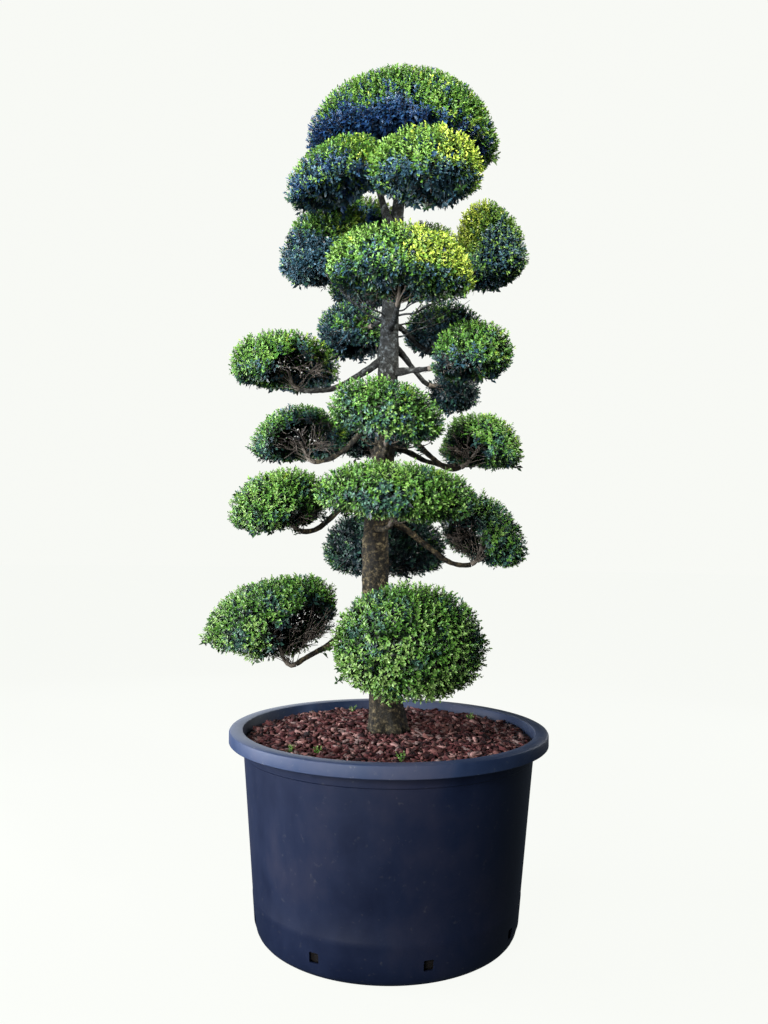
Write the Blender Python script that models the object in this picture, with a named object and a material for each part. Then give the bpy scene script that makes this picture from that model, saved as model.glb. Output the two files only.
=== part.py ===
# Cloud pruned evergreen in a round nursery pot: trunk, boughs, clipped pads of foliage, soil and pot.
# Seen from the front, +X is right, +Y is away and +Z is up. The origin is the middle of the pot's underside.

import math
import random

import bmesh
import bpy
from mathutils import Vector

# Metres throughout
CLEARANCE = 0.0003

POT_HEIGHT = 0.560
POT_FOOT_RADIUS = 0.366
POT_TOP_RADIUS = 0.417
POT_WALL = 0.006
POT_FOOT_ROUNDING = 0.033
POT_FOOT_TURN = math.radians(84.0)
POT_FOOT_STEPS = 4
POT_SEGMENTS = 36
RIM_RADIUS = 0.450
RIM_DEPTH = 0.034
RIM_THICKNESS = 0.006
RIM_EDGE = 0.004
BAND_HEIGHT = 0.030
BAND_STEP = 0.003

HOLE_COUNT = 8
HOLE_SIZE = 0.027
HOLE_HEIGHT = 0.058
HOLE_CUT_DEPTH = 0.030
HOLE_TURN = math.radians(-28.5)

SOIL_TOP = 0.542
SOIL_FALL = 0.020
SOIL_FLAT_RADIUS = 0.085
SOIL_RINGS = 4

# Height of each station above the floor, its sideways place and its radius
TRUNK_STATIONS = (
    (0.5423, -0.004, 0.060),
    (0.570, -0.005, 0.053),
    (0.620, -0.010, 0.048),
    (0.760, -0.030, 0.043),
    (0.970, -0.046, 0.038),
    (1.120, -0.047, 0.037),
    (1.230, -0.036, 0.032),
    (1.350, -0.024, 0.029),
    (1.600, -0.018, 0.028),
    (1.750, -0.014, 0.024),
    (1.900, -0.008, 0.021),
    (2.060, 0.006, 0.018),
    (2.190, 0.012, 0.014),
)
TRUNK_SIDES = 12

CORE_INSET = 0.014
CORE_LEAST_HEIGHT = 0.3
CORE_AROUND = 12
CORE_RINGS = 8
LARGE_PAD_AREA = 0.40
LARGE_CORE_AROUND = 16
LUMP_SIZE = 0.045
HEART_RISE = 0.25
FOOT_DROP = 0.006

STEM_RADIUS = 0.008
STEM_REACH = 0.8
STEM_KNEE = 0.35
STEM_SIDES = 6
TIP_TAPER = 0.6

LEAF_LENGTH = 0.070
LEAF_WIDTH = 0.046
LEAF_WIDEST = 0.55
LEAF_THICKNESS = 0.012
LEAF_PROUD = 0.004
LEAVES_PER_SQUARE_METRE = 48.0
LEAF_LOWEST = -0.45
LEAF_SCATTER = 0.15
LEAF_TILT = 0.9
LEAF_SIZES = (0.9, 1.1)
SKIN_PROBE = 0.03

TWIG_COUNT = 3
TWIG_SIDES = 3
TWIG_RADIUS = 0.0040
TWIG_FAN = math.radians(240.0)
TWIG_FAN_SCATTER = 0.06
TWIG_STARTS = (0.55, 0.95)
TWIG_FALL = -0.55
TWIG_SAG = 0.010
TWIG_END_INSET = 0.025
TWIG_END_RISE = 0.15
FORK_TURN = 0.5
FORK_THINNING = 0.8
LIMB_MARGIN = 0.012
PAD_MARGIN = 1.06

BOUGH_SIDES = 5
BOUGH_RINGS = 6
BOUGH_RADIUS = 0.011
BOUGH_LEAVING = 0.40
BOUGH_ENDING = 0.35
BOUGH_TAPER_POWER = 0.8

# How a pad's pieces are fused, in the order tried: solver, shortest edge kept, how faces are split
JOINING = (("EXACT", 0.00003, "BEAUTY"), ("EXACT", 0.00001, "BEAUTY"), ("EXACT", 0.00001, "EAR_CLIP"),
           ("MANIFOLD", 0.00001, "BEAUTY"), ("MANIFOLD", 0.00001, "EAR_CLIP"))

BARK = (0.20, 0.165, 0.125)
SHADED_GREEN = (0.030, 0.085, 0.045)
SUNLIT_GREEN = (0.120, 0.230, 0.030)
POT_BLUE_BLACK = (0.022, 0.026, 0.042)
SOIL_BROWN = (0.090, 0.042, 0.030)


class Pad:
    # One clipped pad: its middle, half sizes, slope in degrees, lean, and how square it is above and under
    # its girdle. Its bough leaves the trunk at the height "leaves", rising by "parting" degrees, and climbs
    # by "climb" degrees as it ends at the pad's foot. The foot is a share of the way from the middle to the
    # edge on the trunk's side, and drops under the middle.
    def __init__(self, name, middle, half, up, down, slope=0.0, lean=0.0, square=2.3, under=2.3,
                 leaves=0.0, parting=0.0, share=0.5, drop=None, climb=15.0, bough=BOUGH_RADIUS):
        self.name = name
        self.middle = Vector(middle)
        self.half = half
        self.up = up
        self.down = down
        self.slope = math.tan(math.radians(slope))
        self.lean = lean
        self.square = square
        self.under = under
        self.leaves = leaves
        self.share = share
        self.drop = down + FOOT_DROP if drop is None else drop
        self.climb = math.radians(climb)
        self.parting = math.tan(math.radians(parting))
        self.bough = bough
        self.random = random.Random(name)
        self.lumps = [(self.random_direction() * pitch, self.random.uniform(0.0, math.tau))
                      for pitch in (2.6, 3.8, 5.2)]

    def random_direction(self):
        height = self.random.uniform(-1.0, 1.0)
        angle = self.random.uniform(0.0, math.tau)
        across = math.sqrt(1.0 - height * height)
        return Vector((across * math.cos(angle), across * math.sin(angle), height))

    def surface(self, direction, inset=0.0):
        # The point of the pad's outside that lies in a direction from its middle, or a skin depth below it
        across = math.hypot(direction.x, direction.y)
        above = direction.z > 0.0
        power = 2.0 / (self.square if above else self.under)
        level = math.copysign(abs(direction.z) ** power, direction.z)
        reach = across ** power / max(across, 1e-6)
        height = self.up if above else self.down
        x = (self.half[0] - inset) * reach * direction.x + self.lean * self.half[0] * abs(level)
        y = (self.half[1] - inset) * reach * direction.y
        z = max(height - inset, CORE_LEAST_HEIGHT * height) * level
        swell = 1.0 + LUMP_SIZE / 3.0 * sum(math.sin(direction.dot(axis) + phase)
                                            for axis, phase in self.lumps)
        return self.middle + Vector((x * swell, y * swell, z * swell + x * swell * self.slope))

    def fullness(self, point):
        # Below 1 inside the pad, above 1 outside it
        offset = point - self.middle
        rise = offset.z - offset.x * self.slope
        square, height = (self.square, self.up) if rise > 0.0 else (self.under, self.down)
        level = abs(rise) / height
        across = math.hypot((offset.x - self.lean * self.half[0] * min(level, 1.0)) / self.half[0],
                            offset.y / self.half[1])
        return (across ** square + level ** square) ** (1.0 / square)

    def area(self):
        mean = (self.half[0] * self.half[1] * 2.0
                + (self.half[0] + self.half[1]) * (self.up + self.down) / 2.0) / 4.0
        return 4.0 * math.pi * mean

    def inward(self):
        # Level direction from the pad's middle to the trunk
        axis = trunk_point(self.middle.z) - self.middle
        axis.z = 0.0
        return axis.normalized()

    def foot(self):
        # Where the pad's stem begins
        inward = self.inward()
        radius = math.hypot(self.half[0] * inward.x, self.half[1] * inward.y)
        place = self.middle + inward * radius * self.share
        place.z += (place.x - self.middle.x) * self.slope - self.drop
        return place

    def rising(self):
        # Direction in which the bough ends and the stem goes on
        return Vector((0.0, 0.0, math.sin(self.climb))) - self.inward() * math.cos(self.climb)


# Tiers are numbered from the ground, and "back" is the side away from the front view
PADS = (
    Pad("1_left", (-0.345, -0.03, 0.842), (0.190, 0.190), 0.145, 0.106, slope=6.5, lean=0.24, under=1.55,
        leaves=0.900, parting=-45, share=0.41, drop=0.116, climb=-33),
    Pad("1_front", (0.049, -0.28, 0.815), (0.200, 0.180), 0.170, 0.142, square=2.1, under=2.0,
        leaves=0.800, share=1.04, drop=0.015, climb=5),
    Pad("1_back", (0.045, 0.29, 0.740), (0.195, 0.195), 0.175, 0.105, square=2.2,
        leaves=0.735, share=1.04, drop=0.0, climb=5),
    Pad("2_front", (0.010, -0.28, 1.190), (0.215, 0.155), 0.105, 0.055, slope=-4, square=2.5,
        leaves=1.125),
    Pad("2_left", (-0.325, -0.06, 1.160), (0.135, 0.165), 0.130, 0.050, slope=8, lean=0.10,
        leaves=1.255),
    Pad("2_back", (-0.025, 0.25, 1.050), (0.200, 0.170), 0.145, 0.080,
        leaves=0.990),
    Pad("2_right", (0.265, -0.03, 1.092), (0.125, 0.160), 0.135, 0.070, slope=-14, lean=-0.18,
        leaves=1.150, share=0.30),
    Pad("3_front", (-0.015, -0.28, 1.400), (0.155, 0.135), 0.110, 0.050, slope=-8,
        leaves=1.335),
    Pad("3_left", (-0.285, 0.06, 1.365), (0.145, 0.165), 0.122, 0.044, slope=4, lean=0.12,
        leaves=1.480, parting=-45, share=0.40, climb=0),
    Pad("3_right", (0.260, -0.02, 1.350), (0.115, 0.155), 0.110, 0.050, slope=-8, lean=-0.10,
        leaves=1.415, share=0.55, climb=25),
    Pad("3_back", (-0.070, 0.30, 1.425), (0.135, 0.145), 0.100, 0.070, square=2.2,
        leaves=1.400),
    Pad("3_back_right", (0.240, 0.27, 1.380), (0.095, 0.120), 0.075, 0.040,
        leaves=1.365, bough=0.010),
    Pad("4_left", (-0.310, -0.04, 1.565), (0.160, 0.175), 0.115, 0.040, square=2.4,
        leaves=1.630, parting=-40, share=0.25, climb=8),
    Pad("4_right", (0.215, -0.11, 1.588), (0.118, 0.140), 0.115, 0.050, slope=4, lean=0.0,
        leaves=1.580, share=1.06, drop=0.0, climb=5),
    Pad("4_low", (0.184, 0.14, 1.545), (0.086, 0.105), 0.085, 0.060, square=2.2,
        leaves=1.660, share=1.08, drop=-0.015, climb=-15, bough=0.010),
    Pad("4_back_left", (-0.135, 0.23, 1.730), (0.120, 0.145), 0.115, 0.050,
        leaves=1.745, share=1.06, drop=-0.010, climb=0, bough=0.010),
    Pad("4_back_right", (0.160, 0.23, 1.740), (0.135, 0.150), 0.110, 0.050,
        leaves=1.725, bough=0.008),
    Pad("5_front", (0.015, -0.30, 1.770), (0.195, 0.160), 0.125, 0.050, slope=-4, square=2.4,
        leaves=1.705),
    Pad("5_left", (-0.210, 0.06, 1.935), (0.140, 0.130), 0.165, 0.080, slope=10, lean=0.08,
        leaves=1.850, share=0.80, drop=0.070, climb=20),
    Pad("5_back_left", (-0.110, 0.31, 1.905), (0.110, 0.130), 0.090, 0.045,
        leaves=1.860, bough=0.010),
    Pad("5_right", (0.285, -0.02, 1.905), (0.105, 0.140), 0.180, 0.080, lean=-0.32, square=2.2,
        leaves=1.830, share=0.85, drop=0.060, climb=15),
    Pad("5_back", (0.115, 0.22, 1.975), (0.120, 0.145), 0.120, 0.055, slope=-10,
        leaves=1.885, bough=0.010),
    Pad("6_left", (-0.170, -0.17, 2.062), (0.140, 0.130), 0.113, 0.032, slope=20, lean=0.08,
        leaves=1.990, share=1.12, drop=-0.005, climb=30, bough=0.016),
    Pad("6_front", (0.075, -0.36, 2.005), (0.150, 0.135), 0.115, 0.055, square=2.4,
        leaves=2.110, share=1.02, drop=-0.020, climb=-10),
    Pad("6_back", (-0.120, 0.29, 2.130), (0.150, 0.140), 0.070, 0.035, square=2.2,
        leaves=2.045, bough=0.010),
)
CAP = Pad("7_cap", (0.010, 0.02, 2.245), (0.290, 0.280), 0.212, 0.020, square=2.05, lean=0.07)
CAP_STEM_RADIUS = 0.013


def trunk_point(height):
    # Axis of the trunk at a height, bent smoothly between its stations
    x, _ = trunk_station(height)
    return Vector((x, 0.0, height))


def trunk_station(height):
    # Sideways place and radius of the trunk at a height
    heights = [station[0] for station in TRUNK_STATIONS]
    height = min(max(height, heights[0]), heights[-1])
    above = next(index for index in range(1, len(heights)) if heights[index] >= height)
    low, high = TRUNK_STATIONS[above - 1], TRUNK_STATIONS[above]
    share = (height - low[0]) / (high[0] - low[0])
    return (low[1] + (high[1] - low[1]) * share, low[2] + (high[2] - low[2]) * share)


def bough_path(pad):
    # From inside the trunk to the pad's foot, where it lines up with the pad's stem
    start = trunk_point(pad.leaves)
    rising = pad.rising()
    end = pad.foot() - rising * CLEARANCE
    level = Vector((end.x - start.x, end.y - start.y, 0.0))
    parting = level + Vector((0.0, 0.0, level.length * pad.parting))
    handles = (start, start + parting * BOUGH_LEAVING, end - rising * level.length * BOUGH_ENDING, end)
    return [bezier(handles, ring / (BOUGH_RINGS - 1)) for ring in range(BOUGH_RINGS)]


def bough_radii(pad):
    return tapered(pad.bough, STEM_RADIUS, BOUGH_RINGS, power=BOUGH_TAPER_POWER)


def bezier(handles, share):
    rest = 1.0 - share
    weights = (rest ** 3, 3 * rest ** 2 * share, 3 * rest * share ** 2, share ** 3)
    return sum((handle * weight for handle, weight in zip(handles, weights)), Vector())


def material(name, color, roughness):
    made = bpy.data.materials.new(name)
    made.use_nodes = True
    shader = made.node_tree.nodes["Principled BSDF"]
    shader.inputs["Base Color"].default_value = (*color, 1.0)
    shader.inputs["Roughness"].default_value = roughness
    shader.inputs["Metallic"].default_value = 0.0
    return made


def add_object(name, mesh_builder, color=None, roughness=0.6, smooth_angle=None):
    mesh = bpy.data.meshes.new(name)
    mesh_builder.to_mesh(mesh)
    mesh_builder.free()
    made = bpy.data.objects.new(name, mesh)
    bpy.context.scene.collection.objects.link(made)
    if color is not None:
        mesh.materials.append(material(name, color, roughness))
    if smooth_angle is not None:
        mesh.shade_smooth()
        mesh.set_sharp_from_angle(angle=math.radians(smooth_angle))
    return made


def tube(builder, points, radii, sides, turn=0.0, first=None, last=None):
    # A closed limb of given radii along a path. Its flat ends face along the path, or as "first" and
    # "last" say.
    side = (points[1] - points[0]).orthogonal().normalized()
    rings = []
    for index, point in enumerate(points):
        before = points[max(index - 1, 0)]
        after = points[min(index + 1, len(points) - 1)]
        ahead = (after - before).normalized()
        if index == 0 and first:
            ahead = first
        if index == len(points) - 1 and last:
            ahead = last
        side = (side - ahead * side.dot(ahead)).normalized()
        up = ahead.cross(side)
        angles = [turn + math.tau * corner / sides for corner in range(sides)]
        rings.append([point + (side * math.cos(angle) + up * math.sin(angle)) * radii[index]
                      for angle in angles])
    foot = builder.faces.new([builder.verts.new(corner) for corner in rings[0]])
    face = foot
    for ring in rings[1:]:
        grown = bmesh.ops.extrude_face_region(builder, geom=[face])["geom"]
        if face is not foot:
            builder.faces.remove(face)
        face = next(item for item in grown if isinstance(item, bmesh.types.BMFace))
        for vertex, corner in zip(face.verts, ring):
            vertex.co = corner
    bmesh.ops.recalc_face_normals(builder, faces=builder.faces)


def tapered(first, last, count, power=1.0):
    return [first + (last - first) * (index / (count - 1)) ** power for index in range(count)]


def turned(builder, profile, segments):
    # A closed body turned about Z from a profile of (radius, height) that starts and ends on the axis
    corners = [builder.verts.new((radius, 0.0, height)) for radius, height in profile]
    edges = [builder.edges.new(pair) for pair in zip(corners, corners[1:])]
    bmesh.ops.spin(builder, geom=corners + edges, axis=(0, 0, 1), cent=(0, 0, 0),
                   angle=math.tau, steps=segments, use_merge=True)
    bmesh.ops.remove_doubles(builder, verts=builder.verts, dist=1e-6)
    bmesh.ops.dissolve_degenerate(builder, edges=builder.edges, dist=1e-6)
    bmesh.ops.recalc_face_normals(builder, faces=builder.faces)


def pot_radius(height):
    # Outside of the pot's wall below the rim
    return POT_FOOT_RADIUS + (POT_TOP_RADIUS - POT_FOOT_RADIUS) * height / POT_HEIGHT


def pot_inner_radius(height):
    return pot_radius(height) - POT_WALL


def make_pot():
    band_top = POT_HEIGHT - RIM_DEPTH
    band_foot = band_top - BAND_HEIGHT
    under_rim = POT_HEIGHT - RIM_THICKNESS
    foot = [(POT_FOOT_RADIUS + POT_FOOT_ROUNDING * (math.sin(angle) - 1.0),
             POT_FOOT_ROUNDING * (1.0 - math.cos(angle)))
            for angle in tapered(0.0, POT_FOOT_TURN, POT_FOOT_STEPS)]
    profile = [(0.0, 0.0), *foot]
    profile += [(pot_radius(band_foot) - BAND_STEP, band_foot - BAND_STEP),
                (pot_radius(band_foot), band_foot),
                (pot_radius(under_rim), under_rim),
                (RIM_RADIUS - POT_WALL, under_rim),
                (RIM_RADIUS - POT_WALL, band_top),
                (RIM_RADIUS, band_top),
                (RIM_RADIUS, POT_HEIGHT - RIM_EDGE),
                (RIM_RADIUS - RIM_EDGE, POT_HEIGHT),
                (pot_inner_radius(POT_HEIGHT) + RIM_EDGE / 2, POT_HEIGHT),
                (pot_inner_radius(under_rim), under_rim),
                (pot_inner_radius(POT_FOOT_ROUNDING), POT_FOOT_ROUNDING),
                (POT_FOOT_RADIUS - POT_FOOT_ROUNDING, POT_WALL),
                (0.0, POT_WALL)]
    builder = bmesh.new()
    turned(builder, profile, POT_SEGMENTS)
    pot = add_object("pot", builder, POT_BLUE_BLACK, roughness=0.45, smooth_angle=40)
    hole = pot.modifiers.new("drain holes", "BOOLEAN")
    hole.operation = "DIFFERENCE"
    hole.object = make_hole_cutter()


def make_hole_cutter():
    # Square holes through the wall just above the rounded foot, even all round
    builder = bmesh.new()
    for index in range(HOLE_COUNT):
        angle = HOLE_TURN + math.tau * index / HOLE_COUNT
        outward = Vector((math.sin(angle), -math.cos(angle), 0.0))
        sideways = Vector((math.cos(angle), math.sin(angle), 0.0))
        cube = bmesh.ops.create_cube(builder, size=1.0)
        for vertex in cube["verts"]:
            place = vertex.co.copy()
            vertex.co = (outward * (pot_radius(HOLE_HEIGHT) + place.y * HOLE_CUT_DEPTH)
                         + sideways * place.x * HOLE_SIZE
                         + Vector((0.0, 0.0, HOLE_HEIGHT + place.z * HOLE_SIZE)))
    bmesh.ops.recalc_face_normals(builder, faces=builder.faces)
    cutter = add_object("drain_hole_cutter", builder)
    cutter.hide_render = True
    cutter.display_type = "WIRE"
    return cutter


def make_soil():
    # Fills the pot to just under the rim, flat round the trunk and falling away to the wall
    edge_height = SOIL_TOP - SOIL_FALL
    edge_radius = pot_inner_radius(edge_height) - CLEARANCE
    low = POT_WALL + CLEARANCE
    foot_radius = POT_FOOT_RADIUS - POT_FOOT_ROUNDING - POT_WALL
    top = [(SOIL_FLAT_RADIUS + (edge_radius - SOIL_FLAT_RADIUS) * share,
            SOIL_TOP - SOIL_FALL * share ** 2) for share in tapered(0.0, 1.0, SOIL_RINGS)]
    profile = [(0.0, low), (foot_radius, low),
               (pot_inner_radius(POT_FOOT_ROUNDING) - CLEARANCE * 2, POT_FOOT_ROUNDING + POT_WALL),
               *reversed(top), (0.0, SOIL_TOP)]
    builder = bmesh.new()
    turned(builder, profile, POT_SEGMENTS)
    add_object("soil", builder, SOIL_BROWN, roughness=0.95, smooth_angle=40)


def trunk_builder(extra=0.0):
    points = [Vector((x, 0.0, height)) for height, x, _ in TRUNK_STATIONS]
    radii = [radius + extra for _, _, radius in TRUNK_STATIONS]
    for end, beyond in ((0, -extra), (-1, extra)):
        points[end].z += beyond
    builder = bmesh.new()
    upright = Vector((0.0, 0.0, 1.0))
    tube(builder, points, radii, TRUNK_SIDES, first=upright, last=upright)
    return builder


def make_trunk():
    add_object("trunk", trunk_builder(), BARK, roughness=0.85, smooth_angle=60)
    cutter = add_object("trunk_cutter", trunk_builder(CLEARANCE))
    cutter.hide_render = True
    cutter.display_type = "WIRE"
    return cutter


def make_bough(pad, trunk_cutter):
    path = bough_path(pad)
    builder = bmesh.new()
    tube(builder, path, bough_radii(pad), BOUGH_SIDES, last=pad.rising())
    bough = add_object("bough_" + pad.name, builder, BARK, roughness=0.85, smooth_angle=60)
    seat = bough.modifiers.new("seat on trunk", "BOOLEAN")
    seat.operation = "DIFFERENCE"
    seat.object = trunk_cutter
    return bough


def clear_of_limbs(point, pad, limbs, margin):
    # True where a point keeps off the trunk and the boughs, and out of the other pads
    for path, radii in limbs:
        for low, high, radius in zip(path, path[1:], radii):
            span = high - low
            share = min(max((point - low).dot(span) / span.length_squared, 0.0), 1.0)
            if (point - low - span * share).length < radius + margin:
                return False
    return all(other is pad or other.fullness(point) > PAD_MARGIN for other in (*PADS, CAP))


def leaf_corners(root, tip, width, turn):
    # The six corners of a leaf blade of eight faces: its root, its tip, and two across and two through it
    along = (tip - root).normalized()
    side = along.orthogonal().normalized()
    flat = side * math.cos(turn) + along.cross(side) * math.sin(turn)
    through = along.cross(flat)
    middle = root.lerp(tip, LEAF_WIDEST)
    return (root, tip, middle + flat * width / 2, middle - flat * width / 2,
            middle + through * LEAF_THICKNESS / 2, middle - through * LEAF_THICKNESS / 2)


def leaf_builder(corners):
    builder = bmesh.new()
    bmesh.ops.convex_hull(builder, input=[builder.verts.new(place) for place in corners])
    bmesh.ops.recalc_face_normals(builder, faces=builder.faces)
    return builder


def leaf_directions(pad):
    # Even over the pad's outside, apart from its open underside
    count = round(pad.area() * LEAVES_PER_SQUARE_METRE)
    for index in range(count):
        height = 1.0 - 2.0 * (index + 0.5) / count
        if height < LEAF_LOWEST:
            continue
        angle = index * math.pi * (3.0 - math.sqrt(5.0)) + pad.random.uniform(-LEAF_SCATTER, LEAF_SCATTER)
        across = math.sqrt(1.0 - height * height)
        yield Vector((across * math.cos(angle), across * math.sin(angle), height))


def pad_pieces(pad, foot, rising, stem_radius, limbs, own):
    # The pad's stem, the twigs that fork from it, and the leaf sprays that stand out of the core
    heart = pad.middle + Vector((0.0, 0.0, HEART_RISE * pad.up))
    stem_top = foot.lerp(heart, STEM_REACH)
    stem = bmesh.new()
    knee = foot + rising * STEM_KNEE * (stem_top - foot).length
    stem_radii = tapered(stem_radius, stem_radius * TIP_TAPER, 3)
    tube(stem, [foot, knee, stem_top], stem_radii, STEM_SIDES, first=rising)
    yield stem

    outward = math.atan2(-pad.inward().y, -pad.inward().x)
    for index in range(TWIG_COUNT):
        fan = (index + 0.5) / TWIG_COUNT - 0.5 + pad.random.uniform(-TWIG_FAN_SCATTER, TWIG_FAN_SCATTER)
        angle = outward + fan * TWIG_FAN
        start = foot.lerp(knee, pad.random.uniform(*TWIG_STARTS))
        side_turn = pad.random.choice((-FORK_TURN, FORK_TURN))
        forks = ((0.0, TWIG_RADIUS), (side_turn, TWIG_RADIUS * FORK_THINNING))
        for fork, radius in forks[:1 + index % 2]:
            heading = Vector((math.cos(angle + fork), math.sin(angle + fork), TWIG_FALL)).normalized()
            target = pad.surface(heading, TWIG_END_INSET)
            target = target.lerp(heart, TWIG_END_RISE)
            middle = start.lerp(target, 0.5) - Vector((0.0, 0.0, TWIG_SAG))
            if all(clear_of_limbs(place, pad, limbs, LIMB_MARGIN)
                   and clear_of_limbs(place, pad, own, radius) for place in (middle, target)):
                twig = bmesh.new()
                tube(twig, [start, middle, target], tapered(radius, radius * TIP_TAPER, 3), TWIG_SIDES,
                     turn=pad.random.uniform(0.0, 1.0))
                yield twig
            start = middle

    for direction in leaf_directions(pad):
        skin = pad.surface(direction)
        outward = (skin - pad.surface(direction, SKIN_PROBE)).normalized()
        tilt = pad.random_direction()
        along = (outward + (tilt - outward * tilt.dot(outward)) * LEAF_TILT).normalized()
        tip = skin + along * LEAF_PROUD
        size = pad.random.uniform(*LEAF_SIZES)
        turn = pad.random.uniform(0.0, math.pi)
        corners = leaf_corners(tip - along * LEAF_LENGTH * size, tip, LEAF_WIDTH * size, turn)
        if all(clear_of_limbs(corner, pad, limbs + own, LIMB_MARGIN) for corner in corners[1:4]):
            yield leaf_builder(corners)


def pad_core(pad):
    builder = bmesh.new()
    around = LARGE_CORE_AROUND if pad.area() > LARGE_PAD_AREA else CORE_AROUND
    bmesh.ops.create_uvsphere(builder, u_segments=around, v_segments=CORE_RINGS, radius=1.0)
    for vertex in builder.verts:
        vertex.co = pad.surface(vertex.co.normalized(), CORE_INSET)
    return builder


def keep_outer_shell(mesh, smallest_edge, splitting):
    # Drops loose scraps and sealed hollows, so that one body is left, and tells whether that body is closed
    builder = bmesh.new()
    builder.from_mesh(mesh)
    bmesh.ops.triangulate(builder, faces=builder.faces, ngon_method=splitting)
    bmesh.ops.remove_doubles(builder, verts=builder.verts, dist=smallest_edge)
    bmesh.ops.dissolve_degenerate(builder, edges=builder.edges, dist=smallest_edge)
    bmesh.ops.triangulate(builder, faces=builder.faces, ngon_method=splitting)
    waiting = set(builder.faces)
    shells = []
    while waiting:
        reached = {waiting.pop()}
        front = list(reached)
        while front:
            face = front.pop()
            for edge in face.edges:
                for other in edge.link_faces:
                    if other in waiting:
                        waiting.discard(other)
                        reached.add(other)
                        front.append(other)
        shells.append(reached)
    largest = max(shells, key=len)
    spare = [face for shell in shells if shell is not largest for face in shell]
    bmesh.ops.delete(builder, geom=spare, context="FACES")
    closed = all(len(edge.link_faces) == 2 for edge in builder.edges)
    builder.to_mesh(mesh)
    builder.free()
    return closed


def joined_mesh(core, gathered):
    # The gathered pieces fused to the core by the first setting that gives a closed body, or None
    union = core.modifiers.new("union", "BOOLEAN")
    union.operation = "UNION"
    union.operand_type = "COLLECTION"
    union.collection = gathered
    for solver, smallest_edge, splitting in JOINING:
        union.solver = solver
        bpy.context.view_layer.update()
        evaluated = core.evaluated_get(bpy.context.evaluated_depsgraph_get())
        mesh = bpy.data.meshes.new_from_object(evaluated)
        if keep_outer_shell(mesh, smallest_edge, splitting):
            break
        mesh = None
    core.modifiers.clear()
    return mesh


def make_pad(pad, foot, rising, stem_radius, limbs, own):
    share = pad.middle.z / CAP.middle.z
    color = [low + (high - low) * share ** 2 for low, high in zip(SHADED_GREEN, SUNLIT_GREEN)]
    name = "pad_" + pad.name
    core = add_object(name, pad_core(pad))
    mesh = None
    while mesh is None:
        gathered = bpy.data.collections.new("pieces of " + name)
        bpy.context.scene.collection.children.link(gathered)
        for index, builder in enumerate(pad_pieces(pad, foot, rising, stem_radius, limbs, own)):
            piece = add_object(f"{name}_piece_{index}", builder)
            bpy.context.scene.collection.objects.unlink(piece)
            gathered.objects.link(piece)
        mesh = joined_mesh(core, gathered)
        for piece in list(gathered.objects):
            bpy.data.objects.remove(piece)
        bpy.data.collections.remove(gathered)
    core.data = mesh
    mesh.materials.clear()
    mesh.materials.append(material(name, color, 0.7))
    mesh.shade_smooth()
    mesh.set_sharp_from_angle(angle=math.radians(50))


def main():
    for old in list(bpy.data.objects):
        bpy.data.objects.remove(old)
    make_pot()
    make_soil()
    trunk_cutter = make_trunk()
    trunk = ([Vector((x, 0.0, height)) for height, x, _ in TRUNK_STATIONS],
             [radius for _, _, radius in TRUNK_STATIONS])
    boughs = {}
    for pad in PADS:
        make_bough(pad, trunk_cutter)
        boughs[pad] = (bough_path(pad), bough_radii(pad))
    for pad in PADS:
        others = [trunk] + [bough for owner, bough in boughs.items() if owner is not pad]
        make_pad(pad, pad.foot(), pad.rising(), STEM_RADIUS, others, [boughs[pad]])
    top = trunk[0][-1] + Vector((0.0, 0.0, CLEARANCE))
    make_pad(CAP, top, Vector((0.0, 0.0, 1.0)), CAP_STEM_RADIUS, list(boughs.values()), [trunk])


main()
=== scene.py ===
import math
import random

import bmesh
import bpy
import numpy as np
from mathutils import Matrix, Vector, noise


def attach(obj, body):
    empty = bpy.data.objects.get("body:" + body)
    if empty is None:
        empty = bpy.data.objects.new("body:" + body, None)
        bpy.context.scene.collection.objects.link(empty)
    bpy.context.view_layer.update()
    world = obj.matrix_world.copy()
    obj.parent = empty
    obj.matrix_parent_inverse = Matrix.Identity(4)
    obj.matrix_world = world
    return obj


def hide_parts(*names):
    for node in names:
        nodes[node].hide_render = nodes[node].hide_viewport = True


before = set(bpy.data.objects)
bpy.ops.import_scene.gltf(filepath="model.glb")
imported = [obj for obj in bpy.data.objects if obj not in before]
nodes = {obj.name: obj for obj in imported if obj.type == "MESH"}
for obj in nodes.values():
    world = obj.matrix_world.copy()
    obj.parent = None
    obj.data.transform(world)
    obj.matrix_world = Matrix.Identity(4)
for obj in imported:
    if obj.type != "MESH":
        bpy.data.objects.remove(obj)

scene = bpy.context.scene
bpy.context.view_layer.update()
goldenAngle = math.pi * (3.0 - math.sqrt(5.0))
print("frame loaded,", len(nodes), "solids")

# The camera stands two and a half metres off at chest height and looks a little up
cameraView = {"height": 1.075, "distance": 2.5, "sensor": 36, "lens": 30.45, "lookUp": 2.235, "roll": 0.802,
              "shift": -0.0078}
cameraData = bpy.data.cameras.new("camera")
cameraData.sensor_width = cameraView["sensor"]
cameraData.lens = cameraView["lens"]
cameraData.shift_x = cameraView["shift"]
camera = bpy.data.objects.new("camera", cameraData)
scene.collection.objects.link(camera)
camera.matrix_world = (Matrix.Translation((0, -cameraView["distance"], cameraView["height"]))
                       @ Matrix.Rotation(math.radians(90 + cameraView["lookUp"]), 4, "X")
                       @ Matrix.Rotation(math.radians(cameraView["roll"]), 4, "Z"))
scene.camera = camera


# Materials

def newMaterial(name, color, roughness, specular=0.5):
    made = bpy.data.materials.new(name)
    made.use_nodes = True
    shader = made.node_tree.nodes["Principled BSDF"]
    shader.inputs["Base Color"].default_value = (*color, 1)
    shader.inputs["Roughness"].default_value = roughness
    shader.inputs["Specular IOR Level"].default_value = specular
    made.diffuse_color = (*color, 1)
    return made


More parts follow.
